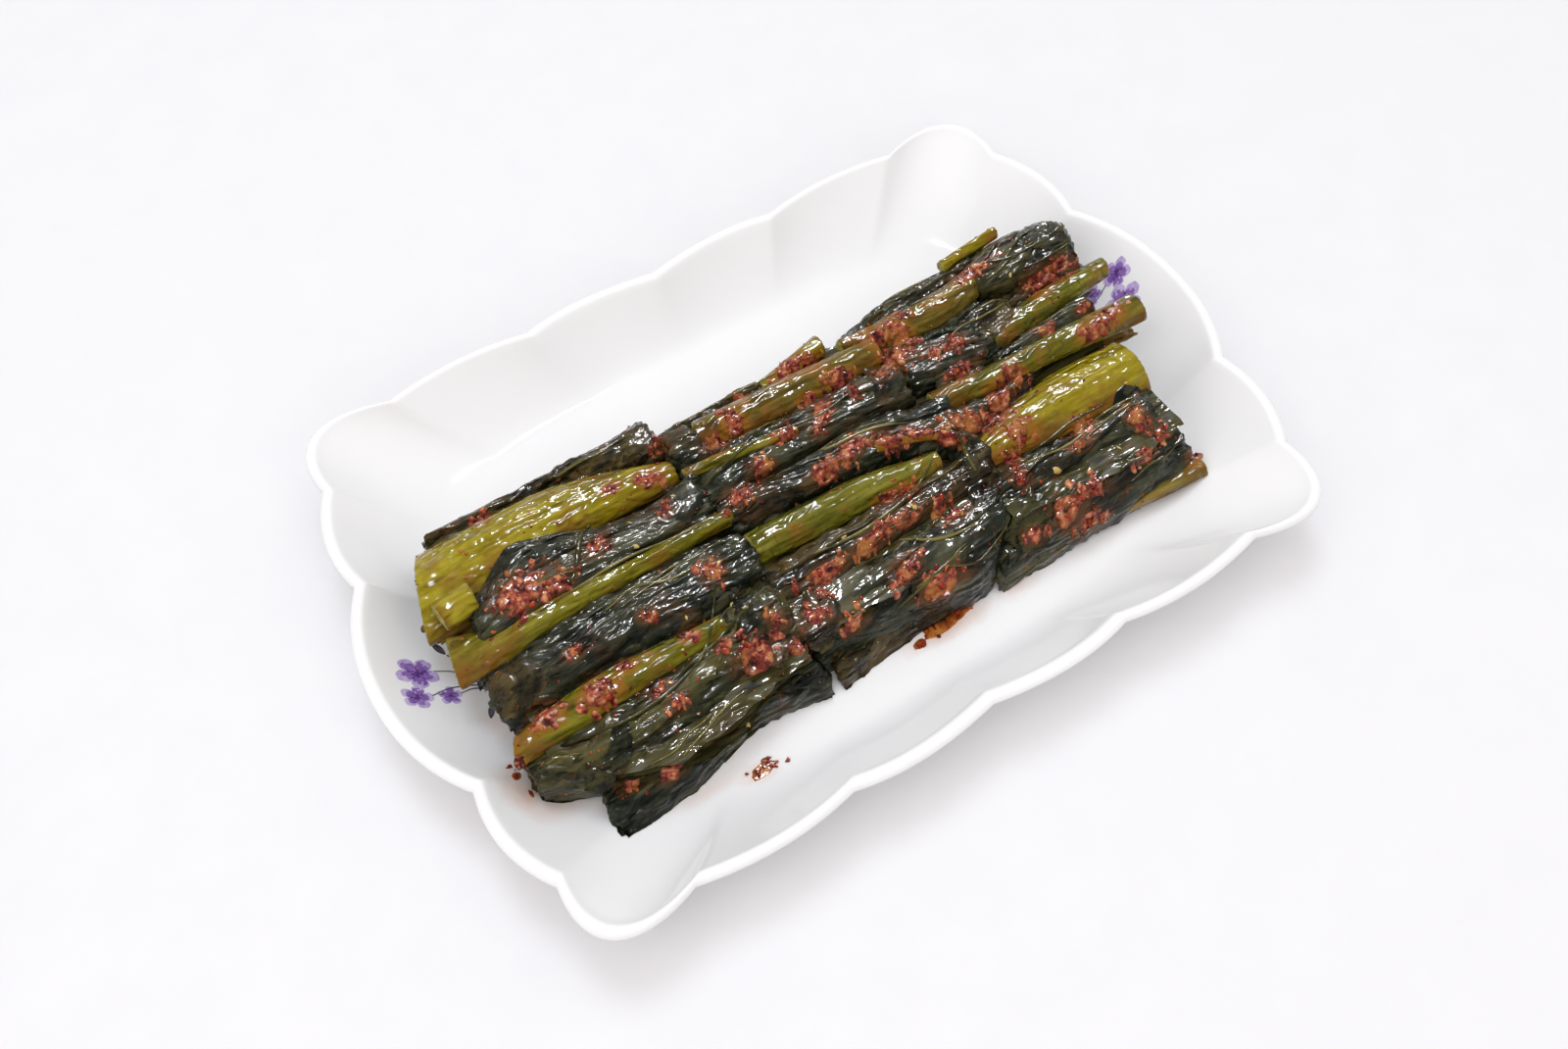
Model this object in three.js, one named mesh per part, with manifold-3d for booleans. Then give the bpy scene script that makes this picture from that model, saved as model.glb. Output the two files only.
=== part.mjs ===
// A shallow scalloped porcelain dish holding mustard-leaf kimchi: three side-by-side stacks of
// pickled stalks and leaves, cut to one length and laid along the dish.
//
// Millimetres. Origin on the table under the dish's centre, +X along the dish's long side,
// +Y towards its back long side, +Z up.

import * as THREE from "three";
import { mergeVertices } from "three/addons/utils/BufferGeometryUtils.js";
import Module from "manifold-3d";

const wasm = await Module();
wasm.setup();

// ---------------------------------------------------------------- driving dimensions

const RIM_HALF_LENGTH = 112.5; // middle lobe of a short side
const RIM_HEIGHT = 22;
const RIM_WAVE = 0.9; // the rim rises this much at the corners
const RIM_CORNER = new THREE.Vector2(98, 72); // where it is highest
const LIP_RADIUS = 1.9;
const LIP_START = 0.22 * Math.PI; // where the bead leaves the inner wall, from the horizontal
const FLOOR_TOP = 6;
const FLOOR_HALF_LENGTH = 87;
const FLOOR_HALF_WIDTH = 55;
const FLOOR_CORNER_POWER = 3.4; // how square the flat floor is
const WALL = 3.6;
const WALL_THICKENING = 0.35; // the wall is thicker at the lip by this share
const FOOT_HEIGHT = 2.6;
const FOOT_WIDTH = 4.5;
const FOOT_HALF_LENGTH = 76;
const FOOT_HALF_WIDTH = 45;
const FOOT_SLOPE = 1.5; // how far each side of the foot leans out on its way up
const UNDERSIDE = 2.2; // height of the sunk underside inside the foot

const GAP = 0.36; // air kept between touching solids
const LID = 60; // top of the space that holds the food

// cusps of the scalloped outline in one quarter, from the short side to the long side
const CUSP_SHORT_INNER = new THREE.Vector2(103.5, 29.5);
const CUSP_SHORT_OUTER = new THREE.Vector2(98.7, 57.3);
const CUSP_LONG_OUTER = new THREE.Vector2(75, 72.7);
const CUSP_LONG_INNER = new THREE.Vector2(36.5, 73.2);
const CUSP_LONG_MIDDLE = new THREE.Vector2(0, 73);
// what each curve between two cusps bends towards
const PULL_SHORT_INNER = new THREE.Vector2(RIM_HALF_LENGTH, 17);
const PULL_SHORT_OUTER = new THREE.Vector2(107.5, 44);
const PULL_CORNER_SHORT = new THREE.Vector2(101, 70);
const PULL_CORNER_LONG = new THREE.Vector2(95, 80);
const PULL_LONG_OUTER = new THREE.Vector2(55, 77.5);
const PULL_LONG_INNER = new THREE.Vector2(21, 77.4);
const SHORT_LOBE_STEPS = 4;
const LONG_LOBE_STEPS = 3;
const CORNER_STEPS = 6;

// rings from the floor's edge up the wall, over the lip's bead (in half turns), and down outside
const WALL_STEPS = [0, 0.3, 0.56, 0.8, 1];
const LIP_ANGLES = [0.45, 0.7, 1];
const OUTER_STEPS = [0.82, 0.4];

// ---------------------------------------------------------------- colours

const PORCELAIN = { color: 0xf4f4f6, roughness: 0.12, metalness: 0 };
const PALE_STALK = { color: 0xa7a63c, roughness: 0.25, metalness: 0 };
const GREEN_STALK = { color: 0x7f8a2a, roughness: 0.25, metalness: 0 };
const OLIVE_STALK = { color: 0x6b6530, roughness: 0.28, metalness: 0 };
const DARK_LEAF = { color: 0x232e26, roughness: 0.22, metalness: 0 };
const GREEN_LEAF = { color: 0x34402e, roughness: 0.22, metalness: 0 };
const BROWN_LEAF = { color: 0x4a3d2a, roughness: 0.25, metalness: 0 };
const CORE_LEAF = { color: 0x2c2f20, roughness: 0.3, metalness: 0 };

// ---------------------------------------------------------------- the food's pieces

// Every piece runs along X. A station is [x, front edge, back edge, top]. thick is the piece's
// depth, fall how far its [front, back] edges drop below its top. Upper pieces come first, and
// each later piece is cut clear of them.
const STALK = "stalk";
const LEAF = "leaf";

const LEFT_STACK = [
  { name: "stub_left", form: STALK, look: PALE_STALK, thick: 5, fall: [1, 1],
    stations: [[-91, 3.5, 10.5, 31], [-83, 4.5, 11.5, 31.5]] },
  { name: "leaf_left_upper", form: LEAF, look: DARK_LEAF, thick: 4, fall: [2, 4],
    stations: [[-85, -2, 7, 28.5], [-70.5, -2.5, 14, 30], [-50.5, -2.5, 9.5, 30], [-25.5, -1, 7.5, 28]] },
  { name: "stalk_left_wide", form: STALK, look: PALE_STALK, thick: 6, fall: [3, 6],
    stations: [[-91.5, 6, 30, 26.5], [-75.5, 10, 28.5, 29], [-45.5, 10, 24, 29], [-28.5, 10, 17, 28]] },
  { name: "stalk_left_mid", form: STALK, look: GREEN_STALK, thick: 5, fall: [1, 1],
    stations: [[-93, -7, 7, 24], [-85, -7.5, 2.5, 26], [-60, -6.5, -1, 28.5], [-24, -6.5, -2.5, 28.5]] },
  { name: "stalk_left_front", form: STALK, look: GREEN_STALK, thick: 5, fall: [1, 1],
    stations: [[-91.5, -30, -23, 22.5], [-72, -30, -21.5, 26], [-39.5, -28, -23.5, 26]] },
  { name: "leaf_left_mid", form: LEAF, look: DARK_LEAF, thick: 4.5, fall: [4, 2],
    stations: [[-89.5, -18, -7, 23.5], [-80, -22, -6.5, 26.5], [-50, -23, -6, 28], [-25, -20, -8, 27]] },
  { name: "leaf_left_front", form: LEAF, look: GREEN_LEAF, thick: 4, fall: [7, 1.5],
    stations: [
      [-90.5, -34.5, -27, 19], [-74.5, -42, -28.5, 22.5], [-50, -41, -26, 25], [-26.5, -37, -20, 27]] },
  { name: "leaf_left_rim", form: LEAF, look: DARK_LEAF, thick: 3, fall: [4.5, 0],
    stations: [
      [-80, -50.5, -37, 12], [-62.5, -48.5, -36, 14.5], [-42, -44, -35, 15.5], [-24, -46.5, -34, 14]] },
  { name: "leaf_left_back", form: LEAF, look: BROWN_LEAF, thick: 4, fall: [0, 4],
    stations: [[-84.5, 26, 34, 22.5], [-56, 23, 31.5, 25.5], [-27.5, 20, 31, 27.5]] },
  { name: "leaf_left_low", form: LEAF, look: BROWN_LEAF, thick: 2.6, fall: [2, 0],
    stations: [[-90.5, -34.5, -27, 14], [-79, -39.5, -30, 14.5]] },
];

const MIDDLE_STACK = [
  { name: "stem_mid_front", form: STALK, look: GREEN_STALK, thick: 2.6, fall: [0.3, 0.3],
    stations: [[13, -10.5, -7.8, 31.2], [24, -14.6, -11.8, 31.4], [34, -21, -18.4, 29.6]] },
  { name: "stem_mid_thin", form: STALK, look: GREEN_STALK, thick: 2.6, fall: [0.3, 0.3],
    stations: [[-27, 7.5, 10.5, 30], [-15, 5.5, 8.5, 31], [0, 4, 6, 31.2]] },
  { name: "leaf_mid_end", form: LEAF, look: DARK_LEAF, thick: 4, fall: [3, 3],
    stations: [[-27, 11.5, 24, 29.5], [-19.5, 10.5, 22.5, 30.5]] },
  { name: "stalk_mid_wide", form: STALK, look: OLIVE_STALK, thick: 6, fall: [2, 5],
    stations: [[-19, 14.5, 24.5, 29.5], [0, 11.5, 22.5, 30.5], [30, 12, 20.5, 30.5]] },
  { name: "leaf_mid_upper", form: LEAF, look: DARK_LEAF, thick: 4, fall: [2, 1.5],
    stations: [[-27, 1.5, 11, 28], [-14, 0.5, 14.5, 29.5], [14, 0.5, 13, 29.8], [30, 0, 13, 29]] },
  { name: "stalk_mid_short", form: STALK, look: GREEN_STALK, thick: 7, fall: [1.6, 1.6],
    stations: [[-24, -18.6, -10.4, 29], [4, -19.8, -11.2, 30], [24, -20.4, -15.4, 29]] },
  { name: "leaf_mid_centre", form: LEAF, look: DARK_LEAF, thick: 4.5, fall: [3, 2],
    stations: [[-24.5, -10.5, 2, 29], [-1, -12, 0.5, 30.8], [18.5, -14, -0.5, 30.5], [35, -19, -6, 28]] },
  { name: "leaf_mid_lower", form: LEAF, look: BROWN_LEAF, thick: 4, fall: [4, 2],
    stations: [[-26, -30, -18.5, 25], [0, -29, -20, 27], [33.5, -27.5, -19.5, 26.5]] },
  { name: "leaf_mid_front", form: LEAF, look: DARK_LEAF, thick: 4, fall: [8, 1],
    stations: [[-24, -40.5, -26, 20], [2, -42.5, -27, 23.5], [22, -44, -26, 23], [32, -38, -26, 23.5]] },
  { name: "stalk_mid_tip", form: STALK, look: PALE_STALK, thick: 4, fall: [0.5, 0.5],
    stations: [[3, 22.5, 26.5, 25], [21, 23.5, 29.5, 26.5]] },
  { name: "leaf_mid_rim", form: LEAF, look: BROWN_LEAF, thick: 2.8, fall: [4, 0],
    stations: [[-20.5, -46.5, -36, 12.5], [-3, -44, -36, 14], [9, -44.5, -36, 13.5], [19, -41, -36, 13]] },
  { name: "leaf_mid_back", form: LEAF, look: BROWN_LEAF, thick: 4, fall: [0, 3.5],
    stations: [[-24, 20, 26.5, 27], [9, 19, 26.5, 27.5]] },
];

const RIGHT_STACK = [
  { name: "leaf_right_back", form: LEAF, look: GREEN_LEAF, thick: 4.5, fall: [3, 5],
    stations: [[62, 15, 23, 30.5], [73, 13.5, 27.5, 32], [90.5, 14.5, 26.5, 30.5]] },
  { name: "stalk_right_back", form: STALK, look: OLIVE_STALK, thick: 6, fall: [1.6, 3],
    stations: [[24, 19, 24.5, 29], [43, 13.5, 23, 31], [72, 17.5, 25, 31]] },
  { name: "stalk_right_tip", form: STALK, look: GREEN_STALK, thick: 5, fall: [1, 1],
    stations: [[57, 0.5, 6, 27.5], [70, 1.5, 9, 28.5], [93.5, 4, 9.5, 28.5]] },
  { name: "leaf_right_end", form: LEAF, look: BROWN_LEAF, thick: 4, fall: [1, 1],
    stations: [[67, 8, 15.5, 27.5], [90, 9.5, 16, 27.5]] },
  { name: "leaf_right_upper", form: LEAF, look: DARK_LEAF, thick: 4, fall: [2, 2],
    stations: [[31.5, 1.5, 15.5, 29], [50, -0.5, 15.5, 30], [68, 4.5, 14.5, 28]] },
  { name: "stalk_right_mid", form: STALK, look: OLIVE_STALK, thick: 5.5, fall: [1, 1],
    stations: [[32.5, -8, -1.5, 29.5], [58.5, -10.5, -4, 30.5], [91.5, -12.5, -4, 30]] },
  { name: "leaf_right_mid", form: LEAF, look: DARK_LEAF, thick: 3.6, fall: [1, 0.5],
    stations: [[37, -5, 1.5, 28.5], [60, -5, 1.5, 29], [83, -5, 1, 28.5]] },
  { name: "stalk_right_wide", form: STALK, look: PALE_STALK, thick: 6, fall: [3, 2.5],
    stations: [[31, -25, -20, 27.5], [49, -27, -14, 29], [80.5, -28.5, -12, 28.5]] },
  { name: "leaf_right_paste", form: LEAF, look: BROWN_LEAF, thick: 4, fall: [1, 1],
    stations: [[33.5, -17, -8.5, 28.8], [43, -20, -8.5, 28.5], [58, -13, -8.5, 28]] },
  { name: "leaf_right_front", form: LEAF, look: DARK_LEAF, thick: 4, fall: [6, 2],
    stations: [[24.5, -39, -25.5, 23], [51, -37, -25.5, 25.5], [77.5, -36.5, -26, 24.5]] },
  { name: "leaf_right_lower", form: LEAF, look: DARK_LEAF, thick: 3.6, fall: [6, 1],
    stations: [[24.5, -45.5, -34.5, 17], [51, -46, -33.5, 20.5], [80.5, -45.5, -33, 19.5]] },
  { name: "stalk_right_rim", form: STALK, look: OLIVE_STALK, thick: 4, fall: [0.6, 0.6],
    stations: [[24.5, -46, -40, 11], [47.5, -46.8, -41, 12.5], [83.5, -49.5, -43.5, 12.5]] },
  { name: "stalk_right_tip_back", form: STALK, look: PALE_STALK, thick: 3.4, fall: [0.4, 0.4],
    stations: [[60, 27.5, 31, 27.5], [77.5, 29.5, 32.5, 27.8]] },
  { name: "leaf_right_far", form: LEAF, look: DARK_LEAF, thick: 4, fall: [0, 4],
    stations: [[27, 20, 26.5, 26.5], [45, 20, 29, 27.5], [74, 22, 31, 26.5]] },
];

const PIECES = [...LEFT_STACK, ...MIDDLE_STACK, ...RIGHT_STACK];

// The plain bundle of layers under the pieces: stations are [x, front edge, back edge, top].
const CORES = [
  { name: "core_left", look: CORE_LEAF,
    stations: [[-86, -34, 30, 22], [-76, -43, 31, 25], [-26.4, -43, 28, 25]] },
  { name: "core_middle", look: CORE_LEAF,
    stations: [[-25.9, -40, 26, 26], [2, -41, 28, 26], [30.6, -37, 27, 26]] },
  { name: "core_right", look: CORE_LEAF,
    stations: [[31.1, -40, 27, 26], [62, -43, 31, 26], [81, -41, 30, 24]] },
];
const CORE_LAYERS = 3;
const CORE_BULGE = { reach: 1, change: 0.4, run: 7 }; // run is the mm along X of each radian
const CORE_LEAST_HEIGHT = 1;
const CORE_COLUMNS = 10;
const CORE_STEPS = 7;
const PATCH = [-1, -0.5, 0, 0.5, 1]; // where undersides are read round a point of a core's top
const PATCH_STEP = 0.5;

// Thick pepper paste that lies on a piece: [x, y, length, width] on the piece named.
const PASTE = {
  leaf_left_upper: [[-73, 3, 12, 6], [-53, 4, 5, 4]],
  stalk_left_wide: [[-30.5, 14, 5, 4]],
  leaf_left_mid: [[-35, -15, 5, 5]],
  stalk_left_front: [[-83, -26, 6, 4], [-70, -26, 7, 4]],
  leaf_left_front: [[-37, -36, 8, 6]],
  leaf_mid_upper: [[-10, 2.8, 6, 4]],
  leaf_mid_centre: [[0, -7, 9, 3.5], [16, -7, 9, 3.5]],
  leaf_mid_lower: [[-5, -27.5, 13, 3]],
  leaf_mid_front: [[1, -36, 7, 4]],
  stalk_mid_wide: [[9, 20, 8, 4]],
  stalk_right_back: [[34, 17.5, 8, 5]],
  leaf_right_upper: [[42, 7, 7, 5]],
  leaf_right_end: [[80, 12.5, 14, 4]],
  stalk_right_mid: [[81, -9.5, 11, 4]],
  leaf_right_paste: [[41, -14.5, 7, 5]],
  leaf_right_front: [[57, -30.5, 6, 4]],
  leaf_right_lower: [[41, -41, 9, 4]],
};
const PASTE_HEIGHT = 1.3;
const PASTE_SIDES = 7;
const PASTE_PROFILE = [[-1, 0.9], [0.3, 1], [1, 0.55]]; // [height, reach] of a lump's rings
const PASTE_LOBES = 3;
const PASTE_WOBBLE = 0.22; // how much a lump's reach changes round it

// surface relief: heights, and the mm along X of each radian of a wave
const STALK_RIB = 0.35;
const STALK_RIB_SPACING = 3;
const STALK_SLANT = 0.12; // how far a stalk's cut ends lean along X, at most, for each mm across
const LEAF_PLEAT = 0.7;
const LEAF_PLEAT_TURN = 2.6 * Math.PI; // radians from a leaf's middle to its edge
const LEAF_PLEAT_RUN = 9;
const LEAF_RIPPLE = 0.35;
const LEAF_RIPPLE_TURN = 2;
const LEAF_RIPPLE_RUN = 3.7;

const STATION_STEP = 10; // mm between a piece's rings
const STALK_SIDES = 9;
const LEVEL_WITHIN = 0.05; // a side that points this little up or down is level
const LEAF_COLUMNS = 5;

// ---------------------------------------------------------------- solids from meshes

function solidOf(geometry) {
  geometry.deleteAttribute("normal");
  geometry.deleteAttribute("uv");
  const merged = mergeVertices(geometry, 1e-4);
  const vertProperties = new Float32Array(merged.attributes.position.array);
  const triVerts = new Uint32Array(merged.index.array);
  return new wasm.Manifold(new wasm.Mesh({ numProp: 3, vertProperties, triVerts }));
}

function geometryOf(solid) {
  const mesh = solid.getMesh();
  const geometry = new THREE.BufferGeometry();
  geometry.setAttribute("position", new THREE.BufferAttribute(mesh.vertProperties, 3));
  geometry.setIndex(new THREE.BufferAttribute(mesh.triVerts, 1));
  return geometry;
}

// The body that is left after cutting: its largest one, without loose scraps.
function largestBody(solid) {
  const bodies = solid.decompose();
  bodies.sort((a, b) => b.volume() - a.volume());
  return bodies[0];
}

// A closed skin over rings of equal length, each end closed by a fan.
function loft(rings) {
  const sides = rings[0].length;
  const points = rings.flat();
  const index = [];
  for (let r = 0; r + 1 < rings.length; r += 1) {
    for (let s = 0; s < sides; s += 1) {
      const a = r * sides + s;
      const b = r * sides + ((s + 1) % sides);
      index.push(a, b, b + sides, a, b + sides, a + sides);
    }
  }
  const ends = [0, rings.length - 1];
  for (const end of ends) {
    const middle = new THREE.Vector3();
    for (const point of rings[end]) middle.addScaledVector(point, 1 / sides);
    const hub = points.push(middle) - 1;
    for (let s = 0; s < sides; s += 1) {
      const a = end * sides + s;
      const b = end * sides + ((s + 1) % sides);
      if (end === 0) index.push(hub, b, a);
      else index.push(hub, a, b);
    }
  }
  const geometry = new THREE.BufferGeometry().setFromPoints(points);
  geometry.setIndex(index);
  return solidOf(geometry);
}

// ---------------------------------------------------------------- the dish

// One quarter of the scalloped outline, from the middle of a short side to that of a long side.
function quarterOutline() {
  const short = new THREE.Vector2(RIM_HALF_LENGTH, 0);
  const lobes = [
    new THREE.QuadraticBezierCurve(short, PULL_SHORT_INNER, CUSP_SHORT_INNER),
    new THREE.QuadraticBezierCurve(CUSP_SHORT_INNER, PULL_SHORT_OUTER, CUSP_SHORT_OUTER),
    new THREE.CubicBezierCurve(CUSP_SHORT_OUTER, PULL_CORNER_SHORT, PULL_CORNER_LONG, CUSP_LONG_OUTER),
    new THREE.QuadraticBezierCurve(CUSP_LONG_OUTER, PULL_LONG_OUTER, CUSP_LONG_INNER),
    new THREE.QuadraticBezierCurve(CUSP_LONG_INNER, PULL_LONG_INNER, CUSP_LONG_MIDDLE),
  ];
  const steps = [SHORT_LOBE_STEPS, SHORT_LOBE_STEPS, CORNER_STEPS, LONG_LOBE_STEPS, LONG_LOBE_STEPS];
  return lobes.flatMap((lobe, i) => lobe.getPoints(steps[i]).slice(0, -1)).concat(CUSP_LONG_MIDDLE);
}

// The whole outline, anticlockwise from +X.
function rimOutline() {
  const quarter = quarterOutline();
  const half = quarter.concat(quarter.slice(0, -1).reverse().map((p) => new THREE.Vector2(-p.x, p.y)));
  return half.concat(half.slice(1, -1).reverse().map((p) => new THREE.Vector2(p.x, -p.y)));
}

// The point of a rounded rectangle that lies in the direction of p.
function onRoundedBox(p, halfLength, halfWidth) {
  const power = FLOOR_CORNER_POWER;
  const reach = (Math.abs(p.x) / halfLength) ** power + (Math.abs(p.y) / halfWidth) ** power;
  return p.clone().multiplyScalar(reach ** (-1 / power));
}

function rimHeight(p) {
  const corner = Math.abs(p.x * p.y) / (RIM_CORNER.x * RIM_CORNER.y);
  return RIM_HEIGHT - RIM_WAVE + RIM_WAVE * Math.min(1, corner);
}

// A ring on the wall's inside face between the floor's edge (t = 0) and the lip (t = 1),
// moved out of the china by lift.
function wallRing(outline, t, lift = 0) {
  return outline.map((rim) => {
    const floor = onRoundedBox(rim, FLOOR_HALF_LENGTH, FLOOR_HALF_WIDTH);
    const lip = rim.clone().setLength(rim.length() - LIP_RADIUS * (1 + Math.cos(LIP_START)));
    const lipHeight = rimHeight(rim) - LIP_RADIUS * (1 - Math.sin(LIP_START));
    const p = floor.clone().lerp(lip, t);
    p.setLength(p.length() - lift * t);
    const rise = 1 - Math.cos((t * Math.PI) / 2);
    return new THREE.Vector3(p.x, p.y, FLOOR_TOP + (lipHeight - FLOOR_TOP) * rise + lift);
  });
}

// A ring on the lip's bead, at an angle from its inner side over its top to its outer side.
function lipRing(outline, angle) {
  return outline.map((rim) => {
    const p = rim.clone().setLength(rim.length() - LIP_RADIUS * (1 + Math.cos(angle)));
    return new THREE.Vector3(p.x, p.y, rimHeight(rim) - LIP_RADIUS * (1 - Math.sin(angle)));
  });
}

// A ring on the wall's outside face, under the inside face's ring.
function outerRing(outline, t) {
  const drop = WALL * (1 + WALL_THICKENING * t);
  return wallRing(outline, t).map((p) => p.setZ(p.z - drop));
}

// A level ring, halfLength by halfWidth.
function levelRing(outline, halfLength, halfWidth, z) {
  return outline.map((rim) => {
    const p = onRoundedBox(rim, halfLength, halfWidth);
    return new THREE.Vector3(p.x, p.y, z);
  });
}

function dish() {
  const outline = rimOutline();
  const [length, width] = [FOOT_HALF_LENGTH, FOOT_HALF_WIDTH];
  const inner = FOOT_WIDTH + FOOT_SLOPE;
  const rings = [
    ...WALL_STEPS.map((t) => wallRing(outline, t)),
    ...LIP_ANGLES.map((angle) => lipRing(outline, angle * Math.PI)),
    ...OUTER_STEPS.map((t) => outerRing(outline, t)),
    levelRing(outline, length + FOOT_SLOPE, width + FOOT_SLOPE, FOOT_HEIGHT),
    levelRing(outline, length, width, 0),
    levelRing(outline, length - FOOT_WIDTH, width - FOOT_WIDTH, 0),
    levelRing(outline, length - inner, width - inner, UNDERSIDE),
  ];
  return loft(rings.reverse());
}

// The space inside the dish that the food may fill, a gap clear of the china.
function foodSpace() {
  const outline = rimOutline();
  const rings = WALL_STEPS.map((t) => wallRing(outline, t, GAP));
  rings.push(rings[rings.length - 1].map((p) => p.clone().setZ(LID)));
  return loft(rings);
}

// ---------------------------------------------------------------- the food

// Smooth values between stations, whose first number is the place along X.
function alongStations(stations) {
  const places = stations.map((station) => station[0]);
  const values = stations.flatMap((station) => station.slice(1));
  const curve = new THREE.CubicInterpolant(places, values, stations[0].length - 1);
  return (x) => Array.from(curve.evaluate(x));
}

// A ring of points in the plane x, from [y, z] pairs that run anticlockwise seen from +X.
function sectionRing(pairs, x, slant = 0) {
  return pairs.map(([y, z]) => new THREE.Vector3(x + slant * (y - pairs[0][0]), y, z));
}

// The height of a piece's rounded upper side at x, with v from -1 at its front edge to 1.
function crownHeight(piece, x, v) {
  const [front, back, top] = piece.along(x);
  const fall = v < 0 ? piece.fall[0] : piece.fall[1];
  return top - fall * v * v * ((back - front) / piece.widest);
}

// A stalk's section is a crescent or a round, ribbed along its upper face.
function stalkSection(piece, x, grow) {
  const [front, back] = piece.along(x);
  const middle = (front + back) / 2;
  const half = (back - front) / 2;
  const ribs = Math.max(1, Math.round(half / STALK_RIB_SPACING));
  const pairs = [];
  for (let s = 0; s < STALK_SIDES; s += 1) {
    const angle = (2 * Math.PI * (s + 0.5)) / STALK_SIDES;
    const v = Math.cos(angle);
    const up = Math.sin(angle);
    const rib = up > 0 ? STALK_RIB * Math.cos(2 * Math.PI * ribs * v + piece.seed) * up : 0;
    const outward = Math.abs(up) < LEVEL_WITHIN ? 0 : Math.sign(up);
    const depth = (piece.thick / 2) * (1 - up) - grow * outward;
    pairs.push([middle + (half + grow) * v, crownHeight(piece, x, v) - depth + rib]);
  }
  return pairs;
}

// A leaf's upper face across the plane x: [y, z] pairs in pleats, from its front to its back.
function leafFace(piece, x) {
  const [front, back] = piece.along(x);
  const face = [];
  for (let c = 0; c <= LEAF_COLUMNS; c += 1) {
    const v = (2 * c) / LEAF_COLUMNS - 1;
    const pleat = LEAF_PLEAT * Math.sin(LEAF_PLEAT_TURN * v + x / LEAF_PLEAT_RUN + piece.seed);
    const ripple = LEAF_RIPPLE * Math.sin(LEAF_RIPPLE_TURN * v + x / LEAF_RIPPLE_RUN + piece.seed);
    face.push([front + ((back - front) * (1 + v)) / 2, crownHeight(piece, x, v) + pleat + ripple]);
  }
  return face;
}

// The end of a face's line moved on by distance, in the direction of its last stretch.
function movedOn([y, z], [nextY, nextZ], distance) {
  const along = distance / Math.abs(y - nextY);
  return [y + (y - nextY) * along, z + (z - nextZ) * along];
}

// A leaf's section is a thin sheet, its two faces split alike.
function leafSection(piece, x, grow) {
  const face = leafFace(piece, x);
  const last = face.length - 1;
  const wide = [...face];
  wide[0] = movedOn(face[0], face[1], grow);
  wide[last] = movedOn(face[last], face[last - 1], grow);
  const lower = wide.map(([y, z]) => [y, z - piece.thick - grow]);
  const upper = wide.map(([y, z]) => [y, z + grow]);
  return [...lower, ...upper.toReversed()];
}

// The piece's own solid before it is cut clear of its neighbours, grown all round by grow.
function pieceSolid(piece, grow) {
  const [start, end] = [piece.stations[0][0], piece.stations.at(-1)[0]];
  const section = piece.form === STALK ? stalkSection : leafSection;
  const slant = piece.form === STALK ? STALK_SLANT * Math.sin(piece.seed) : 0;
  const steps = Math.max(1, Math.round((end - start) / STATION_STEP));
  const rings = [];
  for (let i = 0; i <= steps; i += 1) {
    const x = start + ((end - start) * i) / steps;
    rings.push(sectionRing(section(piece, x, grow), x, slant));
  }
  if (grow > 0) {
    rings.unshift(sectionRing(section(piece, start, grow), start - grow, slant));
    rings.push(sectionRing(section(piece, end, grow), end + grow, slant));
  }
  return loft(rings);
}

// A flat lump of paste lying on a piece at x, y.
function pasteSolid(piece, [x, y, length, width], grow) {
  const [front, back] = piece.along(x);
  const base = crownHeight(piece, x, (2 * y - front - back) / (back - front));
  const rings = [];
  for (const [level, reach] of PASTE_PROFILE) {
    const ring = [];
    for (let s = 0; s < PASTE_SIDES; s += 1) {
      const angle = (2 * Math.PI * s) / PASTE_SIDES;
      const wobble = 1 + PASTE_WOBBLE * Math.sin(PASTE_LOBES * angle + x);
      const px = x + Math.cos(angle) * (length / 2 + grow) * reach * wobble;
      const py = y + Math.sin(angle) * (width / 2 + grow) * reach * wobble;
      ring.push(new THREE.Vector3(px, py, base + level * PASTE_HEIGHT + Math.sign(level) * grow));
    }
    rings.push(ring);
  }
  return loft(rings);
}

function wholePiece(piece, grow) {
  let solid = pieceSolid(piece, grow);
  for (const patch of PASTE[piece.name] ?? []) solid = solid.add(pasteSolid(piece, patch, grow));
  return solid;
}

// The lowest underside of the pieces that lie over the patch round x, y, or just beside it.
function undersideOver(x, y, reachX, reachY) {
  const clamp = THREE.MathUtils.clamp;
  let lowest = LID;
  for (const piece of PIECES) {
    const [start, end] = [piece.stations[0][0], piece.stations.at(-1)[0]];
    const relief = piece.form === LEAF ? LEAF_PLEAT + LEAF_RIPPLE : STALK_RIB;
    for (const dx of PATCH) {
      const px = clamp(x + dx * reachX, start, end);
      if (Math.abs(px - x - dx * reachX) > reachX * PATCH_STEP) continue;
      const [front, back] = piece.along(px);
      for (const dy of PATCH) {
        const py = clamp(y + dy * reachY, front, back);
        if (Math.abs(py - y - dy * reachY) > reachY * PATCH_STEP) continue;
        const crown = crownHeight(piece, px, (2 * py - front - back) / (back - front));
        lowest = Math.min(lowest, crown - piece.thick - relief - GAP);
      }
    }
  }
  return lowest;
}

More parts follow.
